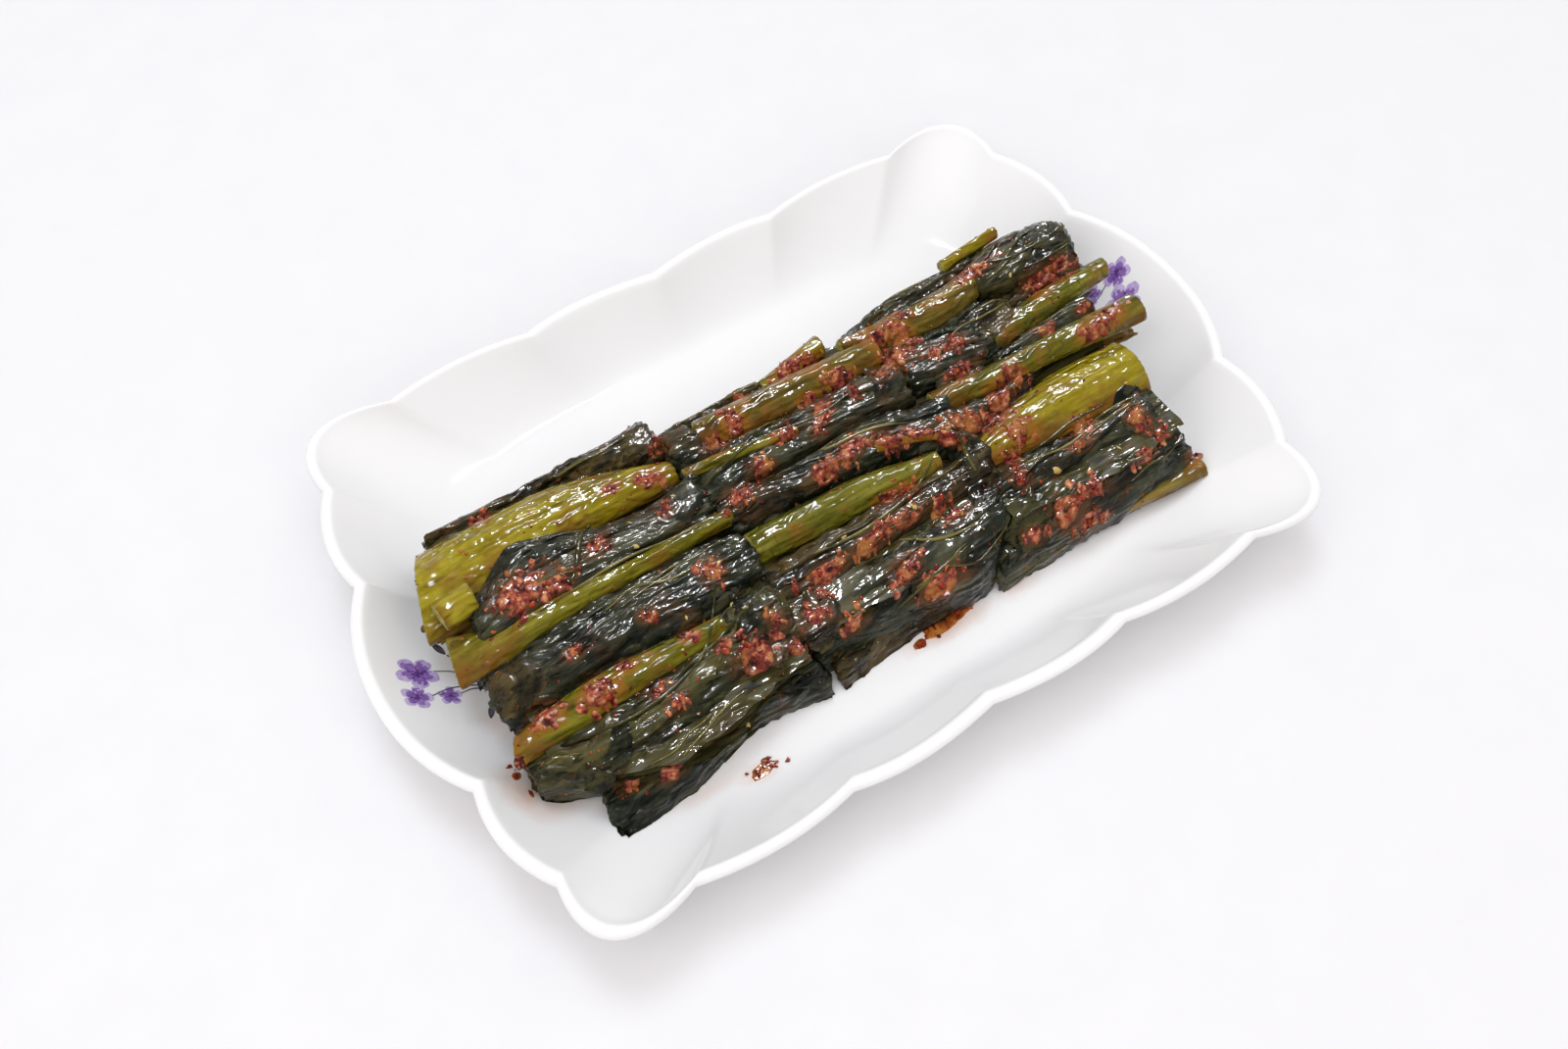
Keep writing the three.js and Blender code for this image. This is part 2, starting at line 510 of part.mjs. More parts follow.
// The core's section: layers bulge at its two sides, and its top fits under the pieces.
function coreSection(core, x, reachX) {
  const [front, back, top] = core.along(x);
  const floor = FLOOR_TOP + GAP;
  const reachY = (back - front) / CORE_COLUMNS;
  const upper = [];
  for (let c = 0; c <= CORE_COLUMNS; c += 1) {
    const y = front + reachY * c;
    const z = Math.min(top, undersideOver(x, y, reachX, reachY));
    upper.push([y, Math.max(floor + CORE_LEAST_HEIGHT, z)]);
  }
  const side = ([y, sideTop], outward) => {
    const pairs = [];
    for (let k = 0; k < 2 * CORE_LAYERS; k += 1) {
      const t = k / (2 * CORE_LAYERS);
      const wave = 1 + CORE_BULGE.change * Math.sin(x / CORE_BULGE.run + k);
      const bulge = k % 2 === 1 ? CORE_BULGE.reach * wave : 0;
      pairs.push([y + outward * bulge, floor + (sideTop - floor) * t]);
    }
    return pairs;
  };
  const [frontTop, backTop] = [upper[0], upper.at(-1)];
  return [...side(backTop, 1), ...upper.toReversed(), ...side(frontTop, -1).toReversed()];
}

function coreSolid(core) {
  const [start, end] = [core.stations[0][0], core.stations.at(-1)[0]];
  const reach = (end - start) / CORE_STEPS;
  const rings = [];
  for (let i = 0; i <= CORE_STEPS; i += 1) {
    const x = start + reach * i;
    rings.push(sectionRing(coreSection(core, x, reach), x));
  }
  return loft(rings);
}

// ---------------------------------------------------------------- the model

const kimchiInDish = new THREE.Group();

function addMesh(name, solid, look) {
  const mesh = new THREE.Mesh(geometryOf(solid), new THREE.MeshStandardMaterial(look));
  mesh.name = name;
  kimchiInDish.add(mesh);
}

addMesh("dish", dish(), PORCELAIN);

for (const row of [...PIECES, ...CORES]) {
  row.along = alongStations(row.stations);
  row.seed = row.stations[0][0] * 1.7 + row.stations[0][1];
  row.widest = Math.max(...row.stations.map(([, front, back]) => back - front));
}

const space = foodSpace();
const placed = []; // the grown solids of the pieces placed so far
for (const piece of PIECES) {
  let rest = wholePiece(piece, 0).intersect(space);
  for (const other of placed) rest = rest.subtract(other);
  addMesh(piece.name, largestBody(rest), piece.look);
  placed.push(wholePiece(piece, GAP));
}

for (const core of CORES) addMesh(core.name, coreSolid(core).intersect(space), core.look);

export default kimchiInDish;
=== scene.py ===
"""Mustard-leaf kimchi in a scalloped porcelain dish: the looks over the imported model."""

import math

import bpy
import numpy as np
from mathutils import Matrix, Vector
from mathutils.bvhtree import BVHTree


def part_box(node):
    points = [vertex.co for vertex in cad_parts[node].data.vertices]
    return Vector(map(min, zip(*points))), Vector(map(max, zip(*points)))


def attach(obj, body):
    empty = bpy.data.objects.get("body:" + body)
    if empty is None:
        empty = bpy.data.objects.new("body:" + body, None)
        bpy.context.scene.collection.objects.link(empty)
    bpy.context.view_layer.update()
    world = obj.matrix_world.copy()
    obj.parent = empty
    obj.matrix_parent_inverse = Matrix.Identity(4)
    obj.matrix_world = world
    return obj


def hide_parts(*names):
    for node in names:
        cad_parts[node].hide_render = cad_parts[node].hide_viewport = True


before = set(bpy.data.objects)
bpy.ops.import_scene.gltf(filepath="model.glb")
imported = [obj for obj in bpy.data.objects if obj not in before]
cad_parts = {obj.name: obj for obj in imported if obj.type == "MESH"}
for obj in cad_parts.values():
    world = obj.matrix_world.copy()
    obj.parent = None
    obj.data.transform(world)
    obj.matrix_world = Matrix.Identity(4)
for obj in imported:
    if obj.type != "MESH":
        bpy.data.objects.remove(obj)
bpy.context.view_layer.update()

MM = 0.001  # every table below is in millimetres, every mesh in metres

# ---- the dish's driving sizes

DISH_HIGH = np.array(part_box("dish")[1]) / MM
RIM_HALF_LENGTH = DISH_HIGH[0]
RIM_HEIGHT = DISH_HIGH[2]
RIM_WAVE = 0.9
RIM_CORNER = (98, 72)  # beyond this the rim stands at its full height
LIP_RADIUS = 1.9
LIP_START = 0.22 * math.pi
FLOOR_TOP = 6.0
FLOOR_HALF = (87.0, 55.0)
CORNER_POWER = 3.4
WALL = 3.6
FOOT_HALF = (76.0, 45.0)
FOOT_WIDTH = 4.5
FOOT_HEIGHT = 2.6
UNDERSIDE = 2.2
DISH_STEPS = 26  # points along each lobe of the outline

# ---- the food's pieces

# name: (thickness, fall of the front edge, fall of the back edge, look,
#        stations of (x, front, back, top))
STALKS = {
    "stub_left": (5, 1, 1, "pale", [(-91, 3.5, 10.5, 31), (-83, 4.5, 11.5, 31.5)]),
    "stalk_left_wide": (6, 3, 6, "pale", [
        (-91.5, 6, 30, 26.5), (-75.5, 10, 28.5, 29), (-45.5, 10, 24, 29), (-28.5, 10, 17, 28)]),
    "stalk_left_mid": (5, 1, 1, "green", [
        (-93, -7, 7, 24), (-85, -7.5, 2.5, 26), (-60, -6.5, -1, 28.5), (-24, -6.5, -2.5, 28.5)]),
    "stalk_left_front": (5, 1, 1, "green", [
        (-91.5, -30, -23, 22.5), (-72, -30, -21.5, 26), (-39.5, -28, -23.5, 26)]),
    "stem_mid_front": (2.6, 0.3, 0.3, "green", [
        (13, -10.5, -7.8, 31.2), (24, -14.6, -11.8, 31.4), (34, -21, -18.4, 29.6)]),
    "stem_mid_thin": (2.6, 0.3, 0.3, "green", [
        (-27, 7.5, 10.5, 30), (-15, 5.5, 8.5, 31), (0, 4, 6, 31.2)]),
    "stalk_mid_wide": (6, 2, 5, "olive", [
        (-19, 14.5, 24.5, 29.5), (0, 11.5, 22.5, 30.5), (30, 12, 20.5, 30.5)]),
    "stalk_mid_short": (7, 1.6, 1.6, "cracked", [
        (-24, -18.6, -10.4, 29), (4, -19.8, -11.2, 30), (24, -20.4, -15.4, 29)]),
    "stalk_mid_tip": (4, 0.5, 0.5, "pale", [(3, 22.5, 26.5, 25), (21, 23.5, 29.5, 26.5)]),
    "stalk_right_back": (6, 1.6, 3, "olive", [
        (24, 19, 24.5, 29), (43, 13.5, 23, 31), (72, 17.5, 25, 31)]),
    "stalk_right_tip": (5, 1, 1, "cracked", [
        (57, 0.5, 6, 27.5), (70, 1.5, 9, 28.5), (93.5, 4, 9.5, 28.5)]),
    "stalk_right_mid": (5.5, 1, 1, "cracked", [
        (32.5, -8, -1.5, 29.5), (58.5, -10.5, -4, 30.5), (91.5, -12.5, -4, 30)]),
    "stalk_right_wide": (6, 3, 2.5, "pale", [
        (31, -25, -20, 27.5), (49, -27, -14, 29), (80.5, -28.5, -12, 28.5)]),
    "stalk_right_rim": (4, 0.6, 0.6, "olive", [
        (24.5, -46, -40, 11), (47.5, -46.8, -41, 12.5), (83.5, -49.5, -43.5, 12.5)]),
    "stalk_right_tip_back": (3.4, 0.4, 0.4, "pale", [
        (60, 27.5, 31, 27.5), (77.5, 29.5, 32.5, 27.8)]),
}
LEAVES = {
    "leaf_left_upper": (4, 2, 4, "dark", [
        (-85, -2, 7, 28.5), (-70.5, -2.5, 14, 30), (-50.5, -2.5, 9.5, 30), (-25.5, -1, 7.5, 28)]),
    "leaf_left_mid": (4.5, 4, 2, "dark", [
        (-89.5, -18, -7, 23.5), (-80, -22, -6.5, 26.5), (-50, -23, -6, 28), (-25, -20, -8, 27)]),
    "leaf_left_front": (4, 7, 1.5, "green", [
        (-90.5, -34.5, -27, 19), (-74.5, -42, -28.5, 22.5), (-50, -41, -26, 25),
        (-26.5, -37, -20, 27)]),
    "leaf_left_rim": (3, 4.5, 0, "dark", [
        (-80, -50.5, -37, 12), (-62.5, -48.5, -36, 14.5), (-42, -44, -35, 15.5),
        (-24, -46.5, -34, 14)]),
    "leaf_left_back": (4, 0, 4, "brown", [
        (-84.5, 26, 34, 22.5), (-56, 23, 31.5, 25.5), (-27.5, 20, 31, 27.5)]),
    "leaf_left_low": (2.6, 2, 0, "brown", [(-90.5, -34.5, -27, 14), (-79, -39.5, -30, 14.5)]),
    "leaf_mid_end": (4, 3, 3, "dark", [(-27, 11.5, 24, 29.5), (-19.5, 10.5, 22.5, 30.5)]),
    "leaf_mid_upper": (4, 2, 1.5, "dark", [
        (-27, 1.5, 11, 28), (-14, 0.5, 14.5, 29.5), (14, 0.5, 13, 29.8), (30, 0, 13, 29)]),
    "leaf_mid_centre": (4.5, 3, 2, "dark", [
        (-24.5, -10.5, 2, 29), (-1, -12, 0.5, 30.8), (18.5, -14, -0.5, 30.5), (35, -19, -6, 28)]),
    "leaf_mid_lower": (4, 4, 2, "brown", [
        (-26, -30, -18.5, 25), (0, -29, -20, 27), (33.5, -27.5, -19.5, 26.5)]),
    "leaf_mid_front": (4, 8, 1, "dark", [
        (-24, -40.5, -26, 20), (2, -42.5, -27, 23.5), (22, -44, -26, 23), (32, -38, -26, 23.5)]),
    "leaf_mid_rim": (2.8, 4, 0, "brown", [
        (-20.5, -46.5, -36, 12.5), (-3, -44, -36, 14), (9, -44.5, -36, 13.5), (19, -41, -36, 13)]),
    "leaf_mid_back": (4, 0, 3.5, "brown", [(-24, 20, 26.5, 27), (9, 19, 26.5, 27.5)]),
    "leaf_right_back": (4.5, 3, 5, "green", [
        (62, 15, 23, 30.5), (73, 13.5, 27.5, 32), (90.5, 14.5, 26.5, 30.5)]),
    "leaf_right_end": (4, 1, 1, "brown", [(67, 8, 15.5, 27.5), (90, 9.5, 16, 27.5)]),
    "leaf_right_upper": (4, 2, 2, "dark", [
        (31.5, 1.5, 15.5, 29), (50, -0.5, 15.5, 30), (68, 4.5, 14.5, 28)]),
    "leaf_right_mid": (3.6, 1, 0.5, "dark", [(37, -5, 1.5, 28.5), (60, -5, 1.5, 29), (83, -5, 1, 28.5)]),
    "leaf_right_paste": (4, 1, 1, "brown", [
        (33.5, -17, -8.5, 28.8), (43, -20, -8.5, 28.5), (58, -13, -8.5, 28)]),
    "leaf_right_front": (4, 6, 2, "dark", [
        (24.5, -39, -25.5, 23), (51, -37, -25.5, 25.5), (77.5, -36.5, -26, 24.5)]),
    "leaf_right_lower": (3.6, 6, 1, "dark", [
        (24.5, -45.5, -34.5, 17), (51, -46, -33.5, 20.5), (80.5, -45.5, -33, 19.5)]),
    "leaf_right_far": (4, 0, 4, "dark", [(27, 20, 26.5, 26.5), (45, 20, 29, 27.5), (74, 22, 31, 26.5)]),
}
# the upper pieces come first, and what comes later is tucked under them
ORDER = """
stub_left leaf_left_upper stalk_left_wide stalk_left_mid stalk_left_front leaf_left_mid
leaf_left_front leaf_left_rim leaf_left_back leaf_left_low
stem_mid_front stem_mid_thin leaf_mid_end stalk_mid_wide leaf_mid_upper stalk_mid_short
leaf_mid_centre leaf_mid_lower leaf_mid_front stalk_mid_tip leaf_mid_rim leaf_mid_back
leaf_right_back stalk_right_back stalk_right_tip leaf_right_end leaf_right_upper
stalk_right_mid leaf_right_mid stalk_right_wide leaf_right_paste leaf_right_front
leaf_right_lower stalk_right_rim stalk_right_tip_back leaf_right_far
""".split()
CORES = {
    "core_left": [(-86, -34, 30), (-76, -43, 31), (-26.4, -43, 28)],
    "core_middle": [(-25.9, -40, 26), (2, -41, 28), (30.6, -37, 27)],
    "core_right": [(31.1, -40, 27), (62, -43, 31), (81, -41, 30)],
}

# Pepper paste: (x, y, length, width, turn in degrees). Places are where the camera's line to the
# food crosses the level of the stacks' tops.
PASTE_LEVEL = 27.0
PASTE = [
    (-73, 4, 12, 7, 8), (-66, 1, 7, 4, 0), (-79, 29, 3, 2, 0), (-71.5, 25.5, 3, 2, 0),
    (-43, 16.5, 3, 2, 0), (-34.5, 14, 4, 3.4, 0), (-28, 20, 3, 3, 0), (-53, 5, 5, 3, 20),
    (-35.5, 5, 3, 2.4, 60), (-35, -15, 5, 5, 0), (-53, -16.5, 3, 2, 0), (-71, -16, 3, 2, 0),
    (-83, -26, 6, 5, 0), (-71, -27.5, 7, 5, 0), (-63, -25, 3, 2, 0), (-48, -26, 3, 2, 0),
    (-93, -27, 3, 2, 40), (-93, -32, 2.6, 1.6, 80), (-60, -33.5, 4, 2, 0), (-58, -38.5, 4, 3, 20),
    (-43, -32, 3, 2, 90), (-38, -38, 8, 7, 20), (-30, -33, 3, 4, 0), (-30, -42, 4, 3, 0),
    (-67, -51, 6, 3, 0), (-75, -49, 4, 2, 0),
    (-9.5, 17, 4, 6, 0), (-5, 22, 3, 3, 0), (10, 23, 9, 3.4, 15), (15, 21, 5, 3, 0),
    (18, 14, 6, 4, 0), (9, 12.5, 4, 2.6, 0), (-17, 13, 5, 3, 0), (-10.5, 2.5, 5, 4, 0),
    (-19, -1.5, 7, 4, 0), (-1, 7.5, 5, 3, 20), (8.5, 7.5, 11, 3, 50), (19, 8.5, 3, 3, 0),
    (1, -6.8, 9, 3.6, 8), (9, -5, 9, 3.6, 10), (17, -7, 9, 3.8, -30), (25, -9.5, 8, 3.4, -25),
    (-14, -29, 12, 2.8, 0), (-1, -28, 11, 3, 8), (8, -27.5, 9, 3, 0), (8, -21.5, 5, 3, 0),
    (14, -22, 4, 3, 0), (17, -29, 4, 2.6, 0), (18, -33, 6, 2.4, 10), (-18, -33, 3, 3, 0),
    (-22.5, -37, 5, 4, 0), (1, -38.5, 7, 4, 20), (-16, -42.5, 6, 3, 20), (5, -46, 10, 5, 10),
    (38, 16, 5, 9, -12), (33, 11, 9, 5, 20), (33, 19, 5, 3.6, 0), (27.5, 9.5, 4, 3, 0),
    (42, 7.5, 4, 2.6, 0), (48, 7, 4, 3, 0), (44, -1, 7, 2.8, 10), (68, -1.5, 4, 2, 0),
    (80, -2, 3, 2, 0), (66, 23, 11, 2.6, 5), (76, 28, 3, 2, 0), (76, 10.8, 7, 4.4, 8),
    (83, 12.4, 9, 5.2, 8), (81, -8, 12, 3.6, 12), (36, -13.5, 8, 5, -30), (42, -17, 6, 5, 0),
    (47, -12, 7, 5, 20), (53.5, -9.5, 5, 4, 0), (44.5, -22.5, 5, 4.6, 70), (38, -28, 4, 4, 80),
    (37, -33, 3, 4, 0), (58, -30, 5, 5, 0), (54, -33, 4, 3, 0), (70, -35, 4, 6, 0),
    (72, -41, 4, 3, 0), (65, -43.5, 5, 3, 0), (41, -45.5, 10, 5, 30), (50, -44, 5, 4, 0),
    (30, -47, 4, 3, 0), (43, -51, 7, 3, 0), (74, -51, 4, 2.6, 0), (30, -14, 5, 4, -40),
]
GARLIC = [
    (-68, 2.5), (-46, 0), (-36, -24.5), (-34, -27), (-48.5, -51), (-33, -14), (-36.5, -16),
    (72, 17), (45, -36), (61, -39), (-6, -24), (12, -26), (3, -8), (-9, 4), (84, 12), (31, -13),
]

# ---- camera, light and floor

CAMERA_AT = (-114.922, -175.390, 330.231)
CAMERA_RIGHT = (0.83832, -0.54497, -0.01505)
CAMERA_UP = (0.46867, 0.70628, 0.53058)
CAMERA_FORWARD = (0.27852, 0.45185, -0.84750)
CAMERA_LENS = 36.37
SENSOR_WIDTH = 36.0

# small lamps behind the dish that only show as points of light on what is wet: (azimuth, elevation)
SPARKS = [(82, 62), (67, 55), (50, 52), (38, 47), (58, 66)]
SPARK_SIZE = 0.13
SPARK_POWER = 15.0
SPARK_DISTANCE = 1.45
GLINT = ("glint", 53, 72, 1.4, 0.06, 0.5)  # the one point of light on the china

WARM_WHITE = (1.0, 0.965, 0.945)
COOL_WHITE = (0.74, 0.86, 1.0)
WORLD_STRENGTH = 0.42
# soft light that the gloss doesn't show: (name, azimuth, elevation, distance, size, power, colour)
SOFT_LAMPS = [
    ("key", 84, 74, 1.6, 0.6, 5.2, COOL_WHITE),
    ("ceiling", 90, 90, 2.0, 2.6, 13.6, WARM_WHITE),
    ("fill_left", 200, 62, 2.0, 1.2, 3.6, WARM_WHITE),
]
# and from all round: (azimuth, power)
SOFT_LAMPS += [(f"wall_{azimuth}", azimuth, 38, 2.0, 1.6, power, WARM_WHITE)
               for azimuth, power in ((0, 4.5), (90, 4.0), (180, 6.0), (225, 3.5), (270, 8.0))]

FLOOR_REACH = 2.5  # metres from the middle to each edge
FLOOR_BELOW = 0.0002  # metres under the dish's foot


def make_camera():
    data = bpy.data.cameras.new("camera")
    data.lens = CAMERA_LENS
    data.sensor_width = SENSOR_WIDTH
    data.clip_start = 0.01
    camera = bpy.data.objects.new("camera", data)
    bpy.context.scene.collection.objects.link(camera)
    axes = [Vector(CAMERA_RIGHT), Vector(CAMERA_UP), -Vector(CAMERA_FORWARD)]
    turn = Matrix(axes).transposed().to_4x4()
    camera.matrix_world = Matrix.Translation(Vector(CAMERA_AT) * MM) @ turn
    bpy.context.scene.camera = camera


def make_lamp(name, azimuth, elevation, distance, size, power, colour=(1, 1, 1), only_on=None, gloss=True):
    """A round lamp aimed at the dish. Azimuth is from +X towards +Y. A lamp that is only on some
    pieces shows as points of light on their gloss and adds no soft light."""
    data = bpy.data.lights.new(name, "AREA")
    data.shape = "DISK"
    data.size = size
    data.energy = power
    data.color = colour
    lamp = bpy.data.objects.new(name, data)
    bpy.context.scene.collection.objects.link(lamp)
    a, e = math.radians(azimuth), math.radians(elevation)
    out = Vector((math.cos(a) * math.cos(e), math.sin(a) * math.cos(e), math.sin(e)))
    lamp.location = out * distance
    lamp.rotation_mode = "QUATERNION"
    lamp.rotation_quaternion = out.to_track_quat("Z", "Y")
    lamp.visible_glossy = gloss
    if only_on is not None:
        lamp.visible_diffuse = False
        pieces = bpy.data.collections.new(name)
        for piece in only_on:
            pieces.objects.link(piece)
        lamp.light_linking.receiver_collection = pieces


def make_world():
    world = bpy.data.worlds.new("studio")
    world.use_nodes = True
    background = world.node_tree.nodes["Background"]
    background.inputs["Color"].default_value = (*WARM_WHITE, 1)
    background.inputs["Strength"].default_value = WORLD_STRENGTH
    bpy.context.scene.world = world


def make_floor():
    ways = ((-1, -1), (1, -1), (1, 1), (-1, 1))
    corners = [(x * FLOOR_REACH, y * FLOOR_REACH, -FLOOR_BELOW) for x, y in ways]
    mesh = bpy.data.meshes.new("floor")
    mesh.from_pydata(corners, [], [(0, 1, 2, 3)])
    floor = bpy.data.objects.new("floor", mesh)
    bpy.context.scene.collection.objects.link(floor)
    look = Look("table_white")
    grain = look.noise(scale=60, detail=3)
    look.paint(grain, [(0.3, (0.78, 0.78, 0.80)), (0.7, (0.795, 0.795, 0.81))], 0.6)
    look.set("Specular IOR Level", 0.2)
    mesh.materials.append(look.material)


# ---- material helpers


class Look:
    """A material being made: its nodes, its links and its one shader."""

    def __init__(self, name):
        self.material = bpy.data.materials.new(name)
        self.material.use_nodes = True
        self.nodes = self.material.node_tree.nodes
        self.links = self.material.node_tree.links
        self.shader = self.nodes["Principled BSDF"]

    def set(self, socket, value):
        """One number or colour for the whole surface, on the shader's own socket."""
        self.shader.inputs[socket].default_value = value

    def drive(self, socket, value):
        self.links.new(value, self.shader.inputs[socket])

    def feed(self, socket, value):
        """Gives another node's socket a colour, a number or what a node gives out."""
        if isinstance(value, tuple):
            socket.default_value = (*value, 1)
        elif isinstance(value, (int, float)):
            socket.default_value = value
        else:
            self.links.new(value, socket)

    def node(self, kind, **sockets):
        """A new node. An underscore in a socket's name stands for a space."""
        node = self.nodes.new("ShaderNode" + kind)
        for socket, value in sockets.items():
            node.inputs[socket.replace("_", " ")].default_value = value
        return node

    def place(self, stretch=(1, 1, 1), shift=(0, 0, 0)):
        """The object's own coordinates, in metres, stretched per axis and then shifted."""
        mapping = self.node("Mapping", Scale=stretch, Location=shift)
        self.links.new(self.node("TexCoord").outputs["Object"], mapping.inputs["Vector"])
        return mapping.outputs["Vector"]

    def noise(self, scale, detail=4, rough=0.6, stretch=(1, 1, 1), distort=0.0):
        noise = self.node("TexNoise", Scale=scale, Detail=detail, Roughness=rough, Distortion=distort)
        self.links.new(self.place(stretch), noise.inputs["Vector"])
        return noise.outputs["Fac"]

    def cells(self, scale, stretch=(1, 1, 1), feature="DISTANCE_TO_EDGE"):
        cells = self.node("TexVoronoi", Scale=scale)
        cells.feature = feature
        self.links.new(self.place(stretch), cells.inputs["Vector"])
        return cells.outputs["Distance"]

    def shaded(self, value):
        """The value, made higher where the mesh's own tone is."""
        return self.maths("ADD", value, self.attribute("tone"))

    def paint(self, value, stops, roughness):
        """A base colour that follows the value, and one roughness all over."""
        self.drive("Base Color", self.ramp(value, stops))
        self.set("Roughness", roughness)

    def ramp(self, value, stops):
        ramp = self.node("ValToRGB")
        elements = ramp.color_ramp.elements
        while len(elements) < len(stops):
            elements.new(0.5)
        for element, (position, colour) in zip(elements, stops):
            element.position = position
            element.color = (*colour, 1)
        self.links.new(value, ramp.inputs["Fac"])
        return ramp.outputs["Color"]

    def mix(self, factor, first, second):
        mix = self.node("Mix")
        mix.data_type = "RGBA"
        self.links.new(factor, mix.inputs["Factor"])
        self.feed(mix.inputs["A"], first)
        self.feed(mix.inputs["B"], second)
        return mix.outputs["Result"]

    def span(self, value, low, high, out_low=0.0, out_high=1.0):
        span = self.node("MapRange", From_Min=low, From_Max=high, To_Min=out_low, To_Max=out_high)
        self.links.new(value, span.inputs["Value"])
        return span.outputs["Result"]

    def maths(self, operation, first, second):
        node = self.node("Math")
        node.operation = operation
        self.feed(node.inputs[0], first)
        self.feed(node.inputs[1], second)
        return node.outputs["Value"]

    def attribute(self, name):
        node = self.node("Attribute")
        node.attribute_name = name
        return node.outputs["Fac"]

    def bump(self, height, distance, strength=1.0, under=None):
        bump = self.node("Bump", Distance=distance)
        self.feed(bump.inputs["Strength"], strength)
        self.links.new(height, bump.inputs["Height"])
        if under is not None:
            self.links.new(under, bump.inputs["Normal"])
        self.drive("Normal", bump.outputs["Normal"])
        self.drive("Coat Normal", bump.outputs["Normal"])
        return bump.outputs["Normal"]

    def wet(self, coat=1.0, coat_rough=0.04):
        """A film of brine and oil over the piece."""
        self.set("Specular IOR Level", 0.08)
        self.set("Coat Weight", coat)
        self.set("Coat Roughness", coat_rough)
        self.set("Coat IOR", 1.24)

    def flesh(self, weight, reach):
        """Light goes a little way in: its reach in metres for red, green and blue."""
        self.set("Subsurface Weight", weight)
        self.set("Subsurface Radius", reach)
        self.set("Subsurface Scale", 1.0)


# ---- materials

# where chilli oil has run out on the china: (x, y, reach along X, reach along Y, strength)
STAINS = [(-94, -31, 5.5, 11, 0.42), (-90, -37, 9, 5, 0.3), (-91, -12, 4, 6, 0.2),
          (8, -47, 15, 4.0, 0.5), (-47, -53.5, 6.5, 3.4, 0.5), (28, -47, 7, 4, 0.3),
          (-60, -51, 14, 2.5, 0.16)]
STAIN = (0.62, 0.25, 0.07)


def stain_mask(look):
    """How stained the china is at a place, from 0 to 1, with wandering edges."""
    wander = look.noise(scale=130, detail=4)
    total = None
    for x, y, reach_x, reach_y, strength in STAINS:
        scale = (1 / (reach_x * MM), 1 / (reach_y * MM), 0)
        length = look.node("VectorMath")
        length.operation = "LENGTH"
        look.links.new(look.place(scale, (-x * MM * scale[0], -y * MM * scale[1], 0)), length.inputs[0])
        spot = look.span(look.maths("ADD", length.outputs["Value"], wander), 0.55, 1.5, strength, 0.0)
        total = spot if total is None else look.maths("MAXIMUM", total, spot)
    return total


def porcelain():
    look = Look("porcelain")
    cloud = look.noise(scale=25, detail=3)
    white = look.ramp(cloud, [(0.3, (0.865, 0.865, 0.87)), (0.7, (0.885, 0.885, 0.89))])
    look.drive("Base Color", look.mix(stain_mask(look), white, STAIN))
    ripple = look.noise(scale=45, detail=2)
    look.bump(ripple, 0.0002, 0.3)
    gloss = look.noise(scale=30, detail=2)
    look.drive("Roughness", look.span(gloss, 0.3, 0.7, 0.08, 0.14))
    look.set("IOR", 1.45)
    return look.material


DECAL_INKS = {  # the deep and the light tone of each printed colour
    "petal_pale": ((0.42, 0.30, 0.62), (0.62, 0.52, 0.78)),
    "petal_middle": ((0.17, 0.08, 0.33), (0.33, 0.19, 0.52)),
    "petal_deep": ((0.05, 0.015, 0.13), (0.12, 0.045, 0.24)),
    "sprig": ((0.035, 0.03, 0.04), (0.16, 0.15, 0.16)),
}
PALE, MIDDLE, DEEP, STEM = range(len(DECAL_INKS))


def ink_look(name):
    """Printed colour under the glaze."""
    look = Look("ink_" + name)
    wash = look.noise(scale=420, detail=4, rough=0.65)
    deep, light = DECAL_INKS[name]
    look.paint(wash, [(0.35, deep), (0.65, light)], 0.12)
    return look.material


def sauce_look():
    """The thin red-brown sauce that has run out on the china."""
    look = Look("sauce")
    drift = look.noise(scale=420, detail=4)
    look.paint(drift, [
        (0.35, (0.13, 0.025, 0.006)), (0.5, (0.3, 0.075, 0.012)), (0.68, (0.5, 0.2, 0.04))], 0.2)
    look.bump(drift, 0.0004, 0.4)
    look.wet(1.0, 0.03)
    return look.material


LEAF_TONES = {  # deep, middle and light tones of a leaf
    "dark": ((0.003, 0.005, 0.003), (0.016, 0.020, 0.011), (0.055, 0.055, 0.028)),
    "green": ((0.004, 0.006, 0.002), (0.024, 0.025, 0.008), (0.076, 0.066, 0.018)),
    "brown": ((0.007, 0.005, 0.002), (0.032, 0.024, 0.009), (0.088, 0.062, 0.02)),
}
# the olive of the veins, also laid on thin lines as painted glints
VEIN_AND_GLINT = (0.13, 0.115, 0.045)
OIL = (0.085, 0.038, 0.013)
# painted shade: the near-black laid into the leaves' creases and low hollows
CREASE_SHADE = (0.0015, 0.0015, 0.001)


def stained(look, patch, most):
    """How much chilli oil lies at a place: round the paste, and in a few patches elsewhere."""
    near = look.maths("MULTIPLY", look.attribute("stain"), 0.45)
    value = look.maths("ADD", patch, near)
    return look.span(value, 0.52, 0.82, 0.0, most)


